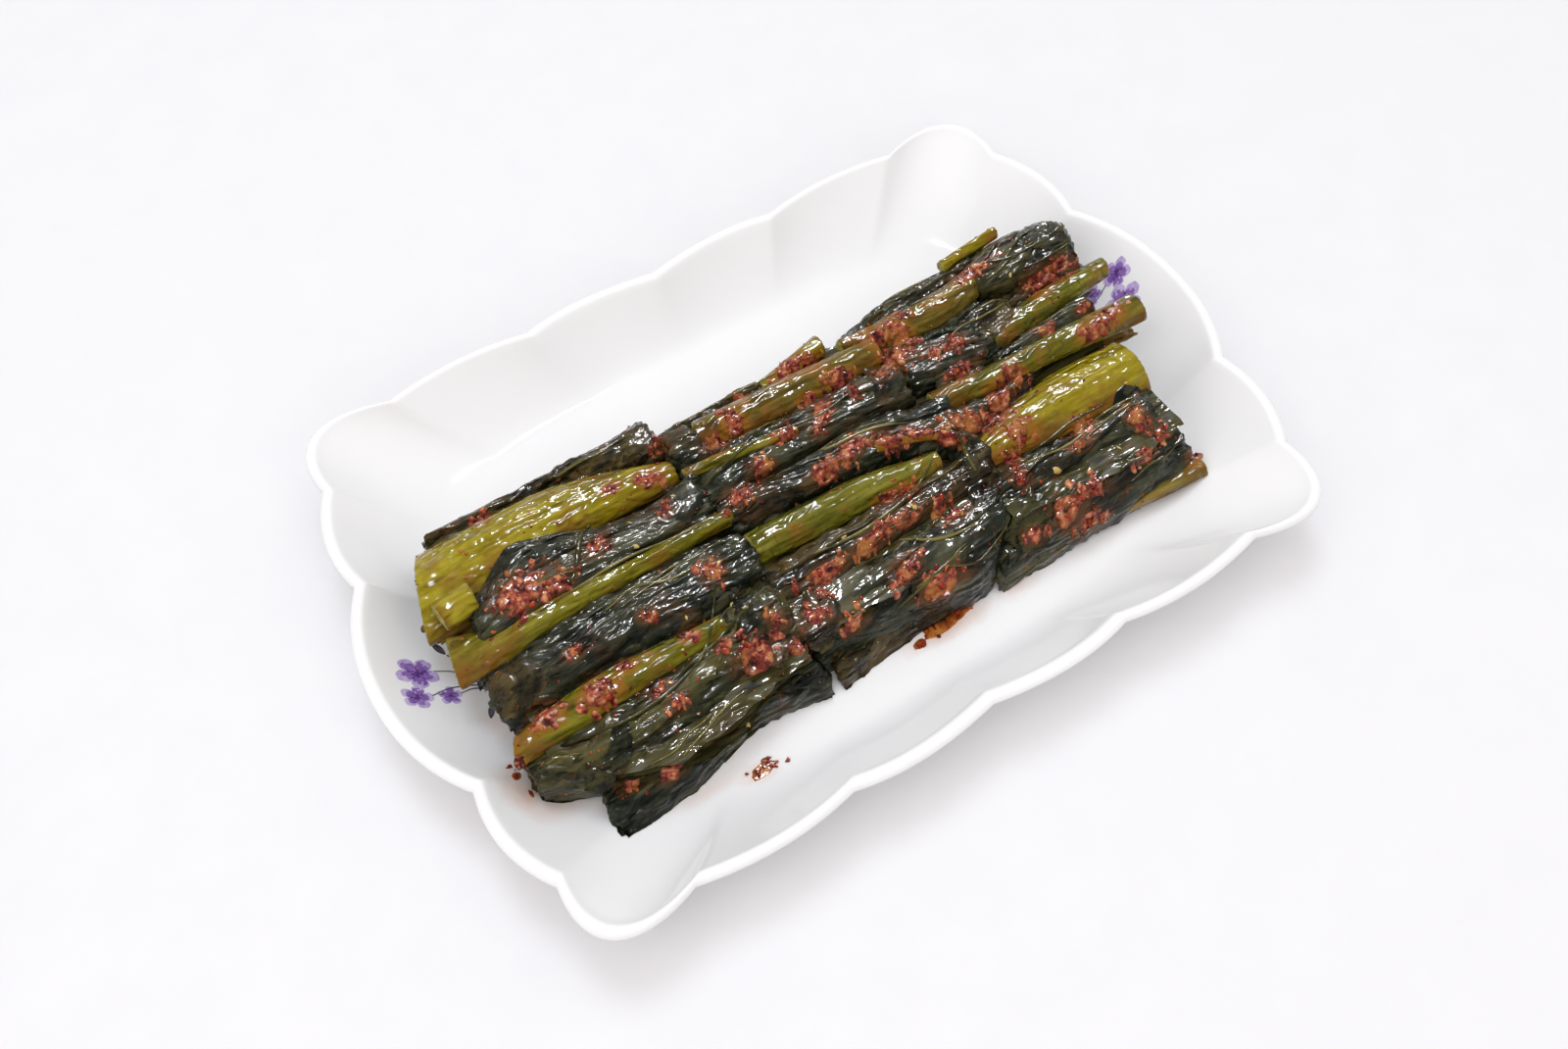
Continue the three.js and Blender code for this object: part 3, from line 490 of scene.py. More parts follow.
def leaf_look(name):
    """A salted leaf: each ribbon of it a little other in tone, with painted shade in its creases and
    hollows and thin lines lightened as veins and painted glints, wet all over.
    """
    deep, middle, light = LEAF_TONES[name]
    look = Look("leaf_" + name)
    cloud = look.noise(scale=190, detail=5, stretch=(0.4, 1, 1))
    spread = look.span(cloud, 0.3, 0.7, -0.25, 0.25)
    value = look.maths("ADD", look.attribute("tone"), spread)
    green = look.ramp(value, [(0.12, deep), (0.45, middle), (0.85, light)])
    patch = look.noise(scale=95, detail=4, rough=0.65)
    toned = look.mix(stained(look, patch, 0.85), green, OIL)
    lines = look.noise(scale=620, detail=3, stretch=(0.16, 1, 1), distort=0.5)
    # thin lines lightened towards the vein colour: partly veins, partly painted glints
    lit = look.span(lines, 0.58, 0.68, 0.0, 0.4)
    ribbed = look.mix(lit, toned, VEIN_AND_GLINT)
    # painted shade along the dark crease lines
    crease_shaded = look.mix(look.span(lines, 0.37, 0.45, 0.8, 0.0), ribbed, CREASE_SHADE)
    # painted shade where the leaf's surface lies low in its folds
    proud = look.span(look.attribute("proud"), 0.05, 0.8, 0.9, 0.0)
    look.drive("Base Color", look.mix(proud, crease_shaded, CREASE_SHADE))
    veins = look.cells(330, stretch=(0.4, 1, 1))
    blister = look.span(veins, 0.0, 0.3)
    threads = look.noise(scale=560, detail=0, stretch=(0.16, 1, 1), distort=0.5)
    pleats = look.noise(scale=360, detail=0, stretch=(0.42, 1, 1), distort=1.0)
    calm = look.noise(scale=110, detail=1, stretch=(0.6, 1, 1))
    rough = look.span(calm, 0.46, 0.58, 0.06, 1.0)
    folded = look.bump(pleats, 0.002, rough)
    coarse = look.bump(blister, 0.0003, rough, under=folded)
    look.bump(threads, 0.0006, 0.6, under=coarse)
    look.drive("Roughness", look.span(cloud, 0.3, 0.7, 0.38, 0.55))
    look.wet()
    return look.material


STALK_TONES = {
    "pale": ((0.09, 0.055, 0.002), (0.22, 0.17, 0.004), (0.34, 0.275, 0.018)),
    "green": ((0.05, 0.042, 0.003), (0.14, 0.125, 0.006), (0.26, 0.23, 0.025)),
    "cracked": ((0.035, 0.03, 0.003), (0.105, 0.1, 0.005), (0.23, 0.21, 0.03)),
    "olive": ((0.05, 0.028, 0.004), (0.13, 0.093, 0.011), (0.24, 0.18, 0.04)),
}
CHILLI_OIL = (0.25, 0.105, 0.010)
BROWNED = (0.13, 0.052, 0.008)


def stalk_look(name):
    """A salted stalk: streaked along its length, browned and stained in patches."""
    deep, middle, light = STALK_TONES[name]
    look = Look("stalk_" + name)
    streak = look.noise(scale=520, detail=4, stretch=(0.07, 1, 1))
    fibre = look.ramp(look.shaded(streak), [(0.3, deep), (0.5, middle), (0.72, light)])
    blotch = look.noise(scale=110, detail=4, rough=0.6)
    soaked = look.maths("ADD", look.attribute("proud"), blotch)
    browned = look.mix(look.span(soaked, 0.62, 1.0, 0.0, 0.9), fibre, BROWNED)
    tone = look.mix(stained(look, blotch, 0.9), browned, CHILLI_OIL)
    if name == "cracked":
        tear = look.noise(scale=900, detail=2, stretch=(1.3, 0.22, 0.22), distort=0.6)
        dark = look.span(tear, 0.62, 0.7, 0.0, 0.6)
        tone = look.mix(dark, tone, deep)
    look.drive("Base Color", tone)
    ribs = look.noise(scale=700, detail=0, stretch=(0.06, 1, 1))
    first = look.bump(ribs, 0.0008, 0.8)
    pores = look.noise(scale=430, detail=0, stretch=(0.6, 1, 1), distort=0.8)
    look.bump(pores, 0.0011, 0.9, under=first)
    look.drive("Roughness", look.span(blotch, 0.3, 0.7, 0.14, 0.28))
    look.flesh(0.18, (0.0018, 0.0016, 0.0006))
    look.wet()
    return look.material


def rib_look():
    """The olive-brown ribs of the leaves."""
    look = Look("leaf_rib")
    drift = look.noise(scale=70, detail=3)
    tone = look.ramp(look.shaded(drift), [
        (0.35, (0.035, 0.03, 0.010)), (0.5, (0.085, 0.075, 0.018)), (0.66, (0.17, 0.14, 0.035))])
    look.drive("Base Color", tone)
    pits = look.noise(scale=600, detail=2)
    look.bump(pits, 0.0004, 0.5)
    look.drive("Roughness", look.span(drift, 0.3, 0.7, 0.18, 0.35))
    look.wet()
    return look.material


def cut_look():
    """The pale fibrous face of a cut stalk."""
    look = Look("cut_face")
    dots = look.cells(900, feature="F1")
    look.paint(dots, [(0.1, (0.12, 0.1, 0.02)), (0.5, (0.33, 0.3, 0.08))], 0.3)
    look.bump(dots, 0.0004, 0.6)
    look.wet(0.4, 0.08)
    return look.material


def paste_look():
    """Coarse wet pepper paste: dark red to orange pulp, thin and dark at a patch's edge."""
    look = Look("pepper_paste")
    pulp = look.noise(scale=480, detail=4, rough=0.7)
    red = look.ramp(look.shaded(pulp), [
        (0.34, (0.03, 0.006, 0.004)), (0.45, (0.17, 0.026, 0.018)), (0.55, (0.36, 0.08, 0.044)),
        (0.68, (0.58, 0.26, 0.11))])
    drift = look.noise(scale=150, detail=3)
    warm = look.span(drift, 0.5, 0.66, 0.0, 0.75)
    pulpy = look.mix(warm, red, (0.42, 0.17, 0.04))
    thin = look.span(look.attribute("proud"), 0.0, 0.6, 0.9, 0.0)
    look.drive("Base Color", look.mix(thin, pulpy, (0.075, 0.016, 0.008)))
    lumps = look.span(look.cells(420, feature="F1"), 0.0, 0.7, 1.0, 0.0)
    look.bump(lumps, 0.0006, 0.9)
    look.set("Roughness", 0.2)
    look.flesh(0.2, (0.0016, 0.0006, 0.0003))
    look.wet()
    return look.material


def flake_look():
    """Flakes of red pepper."""
    look = Look("pepper_flakes")
    look.paint(look.shaded(look.noise(scale=260, detail=1)), [
        (0.35, (0.15, 0.012, 0.008)), (0.5, (0.3, 0.035, 0.014)), (0.65, (0.42, 0.11, 0.03))], 0.25)
    look.wet(0.7, 0.06)
    return look.material


def garlic_look():
    """Chopped garlic, stained yellow by the oil."""
    look = Look("garlic_bits")
    look.paint(look.noise(scale=500, detail=3), [
        (0.3, (0.42, 0.25, 0.06)), (0.7, (0.62, 0.5, 0.2))], 0.3)
    look.wet(0.5, 0.08)
    return look.material


# ---- seeded noise


def hash01(i, j, seed):
    """A fixed number from 0 to 1 for each lattice point."""
    n = (i * 73856093) ^ (j * 19349663) ^ (seed * 83492791)
    n = n & 0xFFFFFFFF
    for _ in range(2):
        n = ((n ^ (n >> 16)) * 0x45D9F3B) & 0xFFFFFFFF
    return ((n ^ (n >> 16)) & 0xFFFFFFFF) / 4294967295.0


def gnoise(u, w, seed):
    """Smooth gradient noise, about -1 to 1, with features one unit apart."""
    u, w = np.broadcast_arrays(np.asarray(u, float), np.asarray(w, float))
    i, j = np.floor(u).astype(np.int64), np.floor(w).astype(np.int64)
    a, b = u - i, w - j

    def corner(di, dj):
        angle = 2 * np.pi * hash01(i + di, j + dj, seed)
        return np.cos(angle) * (a - di) + np.sin(angle) * (b - dj)

    sa, sb = a * a * a * (a * (a * 6 - 15) + 10), b * b * b * (b * (b * 6 - 15) + 10)
    low = corner(0, 0) * (1 - sa) + corner(1, 0) * sa
    high = corner(0, 1) * (1 - sa) + corner(1, 1) * sa
    return (low * (1 - sb) + high * sb) * 1.5


def fbm(u, w, seed, octaves=3):
    """Gradient noise in several octaves, each half as large and twice as fine as the last."""
    total = 0.0
    for k in range(octaves):
        total = total + gnoise(u * 2**k, w * 2**k, seed + 17 * k) / 2**k
    return total / (2 - 2 ** (1 - octaves))


def smooth(value, low, high):
    t = np.clip((value - low) / (high - low), 0, 1)
    return t * t * (3 - 2 * t)


# ---- meshes

WET, DRY = [], []  # the food's pieces, and the china's
CHINA_GAP = 0.15  # how far the food stays over the china
ABOVE_ALL = 60  # the height from which lines are cast straight down
NOTHING = 99.0  # past any height or distance here
PASTE_SPILL = 0.6  # how far oil spreads round a patch of paste


def finish_piece(name, points, faces, materials, replaces=(), slot=None, face_material=None):
    """Makes the object from points in millimetres and has it ride on the part's body.

    Points may carry two more columns, the tone of each place and how proud or browned it is; on a leaf,
    the leaf look lays painted shade where it is least proud."""
    points = np.array(points, float)
    if not name.startswith(("dish", "sprig", "sauce")):
        points = above_china(points)
    mesh = bpy.data.meshes.new(name)
    mesh.from_pydata((points[:, :3] * MM).tolist(), [], faces)
    if name.endswith("_fine"):
        layer = mesh.attributes.new("stain", "FLOAT", "POINT")
        layer.data.foreach_set("value", near_paste(points).astype(np.float32))
    if points.shape[1] > 3:
        for column, label in ((3, "tone"), (4, "proud")):
            layer = mesh.attributes.new(label, "FLOAT", "POINT")
            layer.data.foreach_set("value", points[:, column].astype(np.float32))
    for material in materials:
        mesh.materials.append(material)
    mesh.polygons.foreach_set("use_smooth", [True] * len(mesh.polygons))
    if face_material is not None:
        mesh.polygons.foreach_set("material_index", face_material)
    mesh.update()
    piece = bpy.data.objects.new(name, mesh)
    bpy.context.scene.collection.objects.link(piece)
    (DRY if name.startswith(("dish", "sprig")) else WET).append(piece)
    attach(piece, "root")
    if replaces:
        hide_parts(*replaces)
    return piece


def near_paste(points):
    """How near each point is to a patch of paste, as the camera sees it: 1 under it, 0 away from it."""
    x, y = at_paste_level(points[:, 0], points[:, 1], points[:, 2])
    nearest = np.full(len(points), NOTHING)
    for px, py, length, width, turn in PASTE:
        a, b = turned(x - px, y - py, -turn)
        shares = a / (length / 2 + PASTE_SPILL), b / (width / 2 + PASTE_SPILL)
        nearest = np.minimum(nearest, np.hypot(*shares))
    return 1 - smooth(nearest, 0.8, 1.9)


def at_paste_level(x, y, z):
    """Where the camera's line to x, y, z crosses the paste's level."""
    share = (CAMERA_AT[2] - PASTE_LEVEL) / (CAMERA_AT[2] - z)
    return CAMERA_AT[0] + (x - CAMERA_AT[0]) * share, CAMERA_AT[1] + (y - CAMERA_AT[1]) * share


def turned(x, y, turn):
    """x and y, turned by so many degrees about the origin."""
    a = math.radians(turn)
    return x * math.cos(a) - y * math.sin(a), x * math.sin(a) + y * math.cos(a)


def above_china(points):
    """The points, none of them in or under the dish's inner face."""
    for n in np.flatnonzero(points[:, 2] < RIM_HEIGHT):
        x, y, z = points[n, :3]
        hit, _ = below(CHINA[0], x, y)
        if hit is not None and z < hit.z + CHINA_GAP:
            points[n, 2] = hit.z + CHINA_GAP
    return points


def grid_faces(rows, columns, wrap=False):
    """Quads over a grid of points stored row after row."""
    faces = []
    for r in range(rows - 1):
        for c in range(columns if wrap else columns - 1):
            a = r * columns + c
            b = r * columns + (c + 1) % columns
            faces.append((a, b, b + columns, a + columns))
    return faces


def sheet_points(*columns):
    """A grid's x, y, z, tone and how proud it is, as rows of five."""
    return np.stack(np.broadcast_arrays(*columns), axis=-1).reshape(-1, len(columns))


def tube_faces(rings, around):
    """Quads round a tube of rings, and a face over each end."""
    end = tuple(range((rings - 1) * around, rings * around))
    return grid_faces(rings, around, wrap=True) + [tuple(range(around))[::-1], end]


def along(stations, x):
    """Each station value at the places x, on smooth curves through the stations."""
    table = np.array(stations, float)
    places, values = table[:, 0], table[:, 1:]
    slopes = np.gradient(values, places, axis=0) if len(places) > 2 else (
        np.repeat(np.diff(values, axis=0) / np.diff(places)[:, None], 2, axis=0))
    x = np.asarray(x, float)
    k = np.clip(np.searchsorted(places, x) - 1, 0, len(places) - 2)
    width = places[k + 1] - places[k]
    t = np.clip((x - places[k]) / width, -0.2, 1.2)[..., None]
    h = width[..., None]
    a, b = values[k], values[k + 1]
    sa, sb = slopes[k] * h, slopes[k + 1] * h
    curve = (2 * t**3 - 3 * t**2 + 1) * a + (t**3 - 2 * t**2 + t) * sa
    curve = curve + (3 * t**2 - 2 * t**3) * b + (t**3 - t**2) * sb
    return [curve[..., n] for n in range(values.shape[1])]


def seed_of(name):
    return sum(ord(letter) * (n + 3) for n, letter in enumerate(name)) % 9973


# ---- what lies under what

RELIEF_CELL = 0.5  # mm
RELIEF_FROM = np.array((-102.0, -58.0))
RELIEF_CELLS = (410, 200)
TUCK = 0.6  # how far a lower piece stays under the top of what covers it
DRAPE = 0.35  # how far a leaf stays above the stalk it lies over
SPREAD_STEPS = 9
SPREAD = 0.84  # how much of a press or a rise reaches the next point of a leaf


def top_map(grid):
    """The highest z over each cell, of a grid of points closer together than a cell."""
    halves = (grid[1:] + grid[:-1]) / 2
    dense = np.concatenate([grid, halves])
    dense = np.concatenate([dense, (dense[:, 1:] + dense[:, :-1]) / 2], axis=1).reshape(-1, 3)
    i, j = relief_cells(dense[:, 0], dense[:, 1])
    top = np.full(RELIEF_CELLS, -NOTHING)
    np.maximum.at(top, (np.round(i).astype(int), np.round(j).astype(int)), dense[:, 2])
    return top


def relief_cells(x, y):
    i = np.clip((x - RELIEF_FROM[0]) / RELIEF_CELL, 0, RELIEF_CELLS[0] - 1.001)
    j = np.clip((y - RELIEF_FROM[1]) / RELIEF_CELL, 0, RELIEF_CELLS[1] - 1.001)
    return i, j


def read_map(table, x, y):
    i, j = relief_cells(x, y)
    return table[np.round(i).astype(int), np.round(j).astype(int)]


def spread_out(change):
    """A grid of rises, each passed on to its neighbours a little smaller."""
    for _ in range(SPREAD_STEPS):
        for axis in (0, 1):
            for way in (-1, 1):
                moved = np.roll(change, way, axis)
                edge = [slice(None), slice(None)]
                edge[axis] = 0 if way == 1 else -1
                moved[tuple(edge)] = 0
                change = np.maximum(change, moved * SPREAD)
    return change


# ---- the dish


def bezier(points, steps):
    t = np.linspace(0, 1, steps, endpoint=False)[:, None]
    p = [np.array(point, float) for point in points]
    if len(p) == 3:
        return (1 - t) ** 2 * p[0] + 2 * t * (1 - t) * p[1] + t**2 * p[2]
    return ((1 - t) ** 3 * p[0] + 3 * t * (1 - t) ** 2 * p[1] + 3 * t**2 * (1 - t) * p[2]
            + t**3 * p[3])


def rim_outline():
    length = RIM_HALF_LENGTH
    lobes = [
        [(length, 0), (length, 17), (103.5, 29.5)],
        [(103.5, 29.5), (107.5, 44), (98.7, 57.3)],
        [(98.7, 57.3), (101, 70), (95, 80), (75, 72.7)],
        [(75, 72.7), (55, 77.5), (36.5, 73.2)],
        [(36.5, 73.2), (21, 77.4), (0, 73)],
    ]
    quarter = np.concatenate([bezier(lobe, DISH_STEPS) for lobe in lobes] + [[(0, 73)]])
    half = np.concatenate([quarter, quarter[:-1][::-1] * (-1, 1)])
    return np.concatenate([half, half[1:-1][::-1] * (1, -1)])


def on_rounded_box(p, half):
    reach = (np.abs(p[:, 0]) / half[0]) ** CORNER_POWER + (np.abs(p[:, 1]) / half[1]) ** CORNER_POWER
    return p * (reach ** (-1 / CORNER_POWER))[:, None]


def shortened(p, cut):
    """The outline's points, each drawn in towards the middle by so many millimetres."""
    length = np.hypot(p[:, 0], p[:, 1])[:, None]
    return p * (length - cut) / length


def rim_height(p):
    corner = np.minimum(1, np.abs(p[:, 0] * p[:, 1]) / (RIM_CORNER[0] * RIM_CORNER[1]))
    return RIM_HEIGHT - RIM_WAVE + RIM_WAVE * corner


def level(p, z):
    return np.column_stack([p, np.broadcast_to(z, len(p))])


def wall_ring(outline, t, lower=0.0):
    floor = on_rounded_box(outline, FLOOR_HALF)
    lip = shortened(outline, LIP_RADIUS * (1 + math.cos(LIP_START)))
    lip_height = rim_height(outline) - LIP_RADIUS * (1 - math.sin(LIP_START))
    rise = 1 - math.cos(t * math.pi / 2)
    return level(floor + (lip - floor) * t, FLOOR_TOP + (lip_height - FLOOR_TOP) * rise - lower)


def lip_ring(outline, angle):
    p = shortened(outline, LIP_RADIUS * (1 + math.cos(angle)))
    return level(p, rim_height(outline) - LIP_RADIUS * (1 - math.sin(angle)))


def make_dish():
    outline = rim_outline()
    floor = on_rounded_box(outline, FLOOR_HALF)
    rings = [level(floor * s, FLOOR_TOP) for s in (0.02, 0.2, 0.4, 0.6, 0.75, 0.86, 0.94)]
    rings += [wall_ring(outline, t) for t in np.linspace(0, 1, 21)]
    rings += [lip_ring(outline, LIP_START + (math.pi - LIP_START) * t) for t in np.linspace(0.1, 1, 9)]
    rings += [wall_ring(outline, t, WALL * (1 + 0.35 * t)) for t in np.linspace(0.82, 0.2, 7)]
    foot = [(1.5, FOOT_HEIGHT), (0.6, 1.2), (0, 0.35), (-0.5, 0), (-FOOT_WIDTH + 0.5, 0),
            (-FOOT_WIDTH, 0.35), (-FOOT_WIDTH - 1.5, UNDERSIDE)]
    for out, z in foot:
        rings.append(level(on_rounded_box(outline, (FOOT_HALF[0] + out, FOOT_HALF[1] + out)), z))
    rings += [level(on_rounded_box(outline, FOOT_HALF) * s, UNDERSIDE) for s in (0.6, 0.3, 0.02)]
    faces = [face[::-1] for face in tube_faces(len(rings), len(outline))]
    return finish_piece(
        "dish_china", np.concatenate(rings), faces, [LOOKS["porcelain"]], ["dish"], "porcelain")


# ---- stalks

STALK_STEP = 0.8  # mm between a stalk's rings
NARROW = 9  # a stalk less wide than this has finer ribs
# the rings over a cut end: (size, how far each stands out)
CAP = ((0.94, 0.25), (0.8, 0.42), (0.55, 0.35), (0.3, 0.3), (0.06, 0.3))
STALK_SLOTS = {"pale": "stalk_pale", "green": "stalk_green", "cracked": "stalk_green",
               "olive": "stalk_olive"}
BLISTERED = {"stalk_left_wide": 0.35, "stalk_right_wide": 0.3, "stalk_mid_wide": 0.25}
SLANTS = {"stalk_left_wide": 0.34, "stalk_left_mid": 0.2, "stalk_left_front": 0.35, "stalk_mid_wide": 0.3}
BROWN_FRONT = {"stalk_right_wide": 0.5, "stalk_mid_wide": 0.35, "stalk_left_wide": 0.3}
# how much lighter each stalk is at its left and right end, and how browned
ENDS = {
    "stub_left": (0.22, 0.16, 0.3, 0.0), "stalk_left_wide": (0.13, -0.06, 0.12, 0.0),
    "stalk_left_mid": (0.1, -0.05, 0.3, 0.0), "stalk_left_front": (0.02, -0.04, 0.25, 0.0),
    "stalk_mid_wide": (-0.08, 0.0, 0.3, 0.2), "stalk_mid_short": (-0.02, 0.03, 0.1, 0.05),
    "stalk_mid_tip": (0.0, 0.05, 0.2, 0.2), "stalk_right_back": (-0.05, 0.0, 0.35, 0.1),
    "stalk_right_tip": (-0.03, 0.05, 0.2, 0.1), "stalk_right_mid": (-0.02, 0.05, 0.3, 0.3),
    "stalk_right_wide": (0.0, 0.12, 0.15, 0.05), "stalk_right_rim": (0.0, 0.0, 0.4, 0.2),
    "stalk_right_tip_back": (0.0, 0.05, 0.1, 0.1), "stem_mid_front": (0.0, 0.0, 0.3, 0.3),
    "stem_mid_thin": (0.0, 0.0, 0.3, 0.3),
}


def extent(stations):
    """A piece's start and end along X, and its greatest width."""
    return stations[0][0], stations[-1][0], max(back - front for _, front, back, _ in stations)


def crown_of(fall_front, fall_back, front, back, top, v, widest):
    """The height of a piece's top at v, which goes from -1 at its front edge to 1 at its back edge."""
    fall = np.where(v < 0, fall_front, fall_back)
    return top - fall * v * v * ((back - front) / widest)


def stalk_rings(name):
    thick, fall_front, fall_back, _, stations = STALKS[name]
    seed = seed_of(name)
    start, end, widest = extent(stations)
    sides = int(np.clip(widest * 4.4, 26, 84))
    rows = max(8, int((end - start) / STALK_STEP))
    t = np.linspace(0, 1, rows)[:, None]
    angle = 2 * np.pi * (np.arange(sides) + 0.5) / sides
    v = np.sign(np.cos(angle)) * np.abs(np.cos(angle)) ** 0.92
    up = np.sin(angle)
    lean = SLANTS.get(name, 0.14 * math.sin(seed)) * (1 - t) ** 2
    slant = lean * (v * widest / 2)
    x = start + (end - start) * t + slant
    front, back, top = along(stations, np.clip(x, start, end))
    middle, half = (front + back) / 2, (back - front) / 2
    wander = 0.7 * gnoise(x / 24, 0.5, seed) + 0.25 * fbm(x / 14, v * 0.6, seed, 2)
    y = middle + half * v + wander
    crown = crown_of(fall_front, fall_back, front, back, top, v, widest)
    z = crown - (thick / 2) * (1 - up)
    upper = np.clip(up, 0, 1) ** 0.5
    across = half * v
    spacing, deep = (1.15, 0.16) if widest < NARROW else (1.9, 0.26)
    fold = across / spacing + 0.35 * fbm(x / 22, across / 6, seed + 3, 2)
    rib = (np.abs(np.sin(np.pi * fold)) - 0.6) * deep
    swell = 0.22 * fbm(x / 9, across / 4, seed + 5, 3)
    blister = BLISTERED.get(name, 0.1) * np.maximum(0, gnoise(x / 2.4, across / 2.0, seed + 8))
    z = z + upper * (rib + swell + blister)
    y = y + (1 - upper) * 0.12 * fbm(x / 4, angle[None, :] * 2, seed + 9, 2)
    return np.stack([x, y, z], axis=-1)


def make_stalk(name):
    look = STALKS[name][3]
    seed = seed_of(name)
    rings = stalk_rings(name)
    sides = rings.shape[1]
    caps = []
    for ring, way in ((rings[0], -1), (rings[-1], 1)):
        centre = ring.mean(0)
        for reach, bulge in CAP:
            inner = centre + (ring - centre) * reach
            inner[:, 0] += way * bulge + 0.2 * gnoise(inner[:, 1] * 1.3, inner[:, 2] * 1.3, seed)
            caps.append(inner)
    order = caps[:len(CAP)][::-1] + list(rings) + caps[len(CAP):]
    points = np.concatenate(order)
    share = np.clip((points[:, 0] - rings[0][0, 0]) / (rings[-1][0, 0] - rings[0][0, 0]), 0, 1)
    light_left, light_right, brown_left, brown_right = ENDS[name]
    brown = brown_left * (1 - smooth(share, 0.0, 0.35)) + brown_right * smooth(share, 0.7, 1.0)
    front, back, _ = along(STALKS[name][4], points[:, 0])
    across = (points[:, 1] - front) / (back - front)
    brown = brown + BROWN_FRONT.get(name, 0.12) * (1 - smooth(across, 0.0, 0.4))
    points = np.column_stack([points, light_left + (light_right - light_left) * share, brown])
    faces = tube_faces(len(order), sides)
    cut = (len(CAP) - 1) * sides
    marks = np.zeros(len(faces), int)
    marks[:cut] = 1
    marks[-cut - 2:] = 1
    return finish_piece(
        name + "_fine", points, faces, [LOOKS["stalk_" + look], LOOKS["cut"]], [name],
        STALK_SLOTS[look], marks.tolist())


# ---- leaves

LEAF_STEP = (0.5, 0.36)  # mm between points along and across a top sheet
UNDER_STEP = (1.3, 0.9)
SHEETS = 3  # in a leaf
SHEET_DROP = 1.15  # from each of a leaf's sheets to the next
FOLD_PIVOT = 12  # how far inside a leaf's end its folds turn about
SKIRT = 0.16  # how far past its edge a leaf's way across goes on, down its side
# the way a leaf's folds run, in degrees from its length, at its left and its right end
TURN = {"leaf_left_front": (-12, 52), "leaf_right_lower": (24, 10), "leaf_right_front": (6, 30),
        "leaf_mid_front": (24, -6), "leaf_mid_centre": (-10, 14), "leaf_left_upper": (14, -8),
        "leaf_right_upper": (-16, 12), "leaf_left_mid": (16, -8), "leaf_mid_rim": (30, 10),
        "leaf_left_rim": (20, -10), "leaf_right_back": (22, 8), "leaf_mid_upper": (8, -12),
        "leaf_mid_lower": (-4, 10), "leaf_left_back": (-6, 6), "leaf_right_mid": (5, -5)}


def shingles(fold, along_it, seed):
    """Height, tone and lean of narrow ribbons that overlap one another, one for each unit of fold."""
    number = np.floor(fold)
    part = fold - number
    index = number.astype(np.int64)
    size = 0.35 + 0.75 * hash01(index, index * 0, seed)
    size = size * (0.35 + 0.65 * smooth(gnoise(along_it, number * 5.3, seed + 2), -0.35, 0.25))
    rise = smooth(part, 0, 0.16)
    height = size * (rise * (1 - 0.7 * part) - 0.35)
    return height, hash01(index, index * 0 + 5, seed), size * rise * (1 - part)


def wrinkles(x, w, turns, ends, seed):
    """Height, tone and lean of the folds at places x along and w across a leaf."""
    part = np.clip((x - ends[0]) / (ends[1] - ends[0]), 0, 1)
    a = np.radians(turns[0] + (turns[1] - turns[0]) * smooth(part, 0.25, 1.0))
    near = np.where(part < 0.5, ends[0] + FOLD_PIVOT, ends[1] - FOLD_PIVOT)
    near = near + (ends[0] + ends[1] - 2 * near) / 2 * (1 - np.abs(2 * part - 1))
    p = x * np.cos(a) + w * np.sin(a)
    q = -(x - near) * np.sin(a) + w * np.cos(a)
    q = q + 1.5 * fbm(p / 23, q / 14, seed, 2) + 0.35 * fbm(p / 6, q / 4, seed + 1, 2)
    wide, tone, lean = shingles(q / 4.6, p / 16, seed + 20)
    fold = q / 1.75 + 0.8 * gnoise(p / 11, q / 6, seed + 4)
    narrow, tone_narrow, lean_narrow = shingles(fold, p / 9, seed + 30)
    crumple = smooth(fbm(p / 12, q / 8, seed + 9, 2), -0.25, 0.3)
    billow = np.sqrt(np.abs(gnoise(p / 5 + q / 9, q / 2.7 - p / 16, seed + 5)) + 0.005) - 0.45
    pucker = np.abs(gnoise(p / 3.6, q / 2.0 + p / 9, seed + 6))
    swell = fbm(p / 10, q / 5.5, seed + 7, 2)
    height = 1.7 * wide + 0.7 * narrow + (0.35 + 0.6 * crumple) * billow
    height = height + (0.2 + 0.5 * crumple) * pucker + 0.75 * swell
    # the ribbons' own tones, with painted light on top: lighter where the leaf swells up
    tone = 0.5 * tone + 0.3 * tone_narrow + 0.2 * smooth(swell, -0.5, 0.5)
    return height, tone, -0.6 * lean - 0.3 * lean_narrow


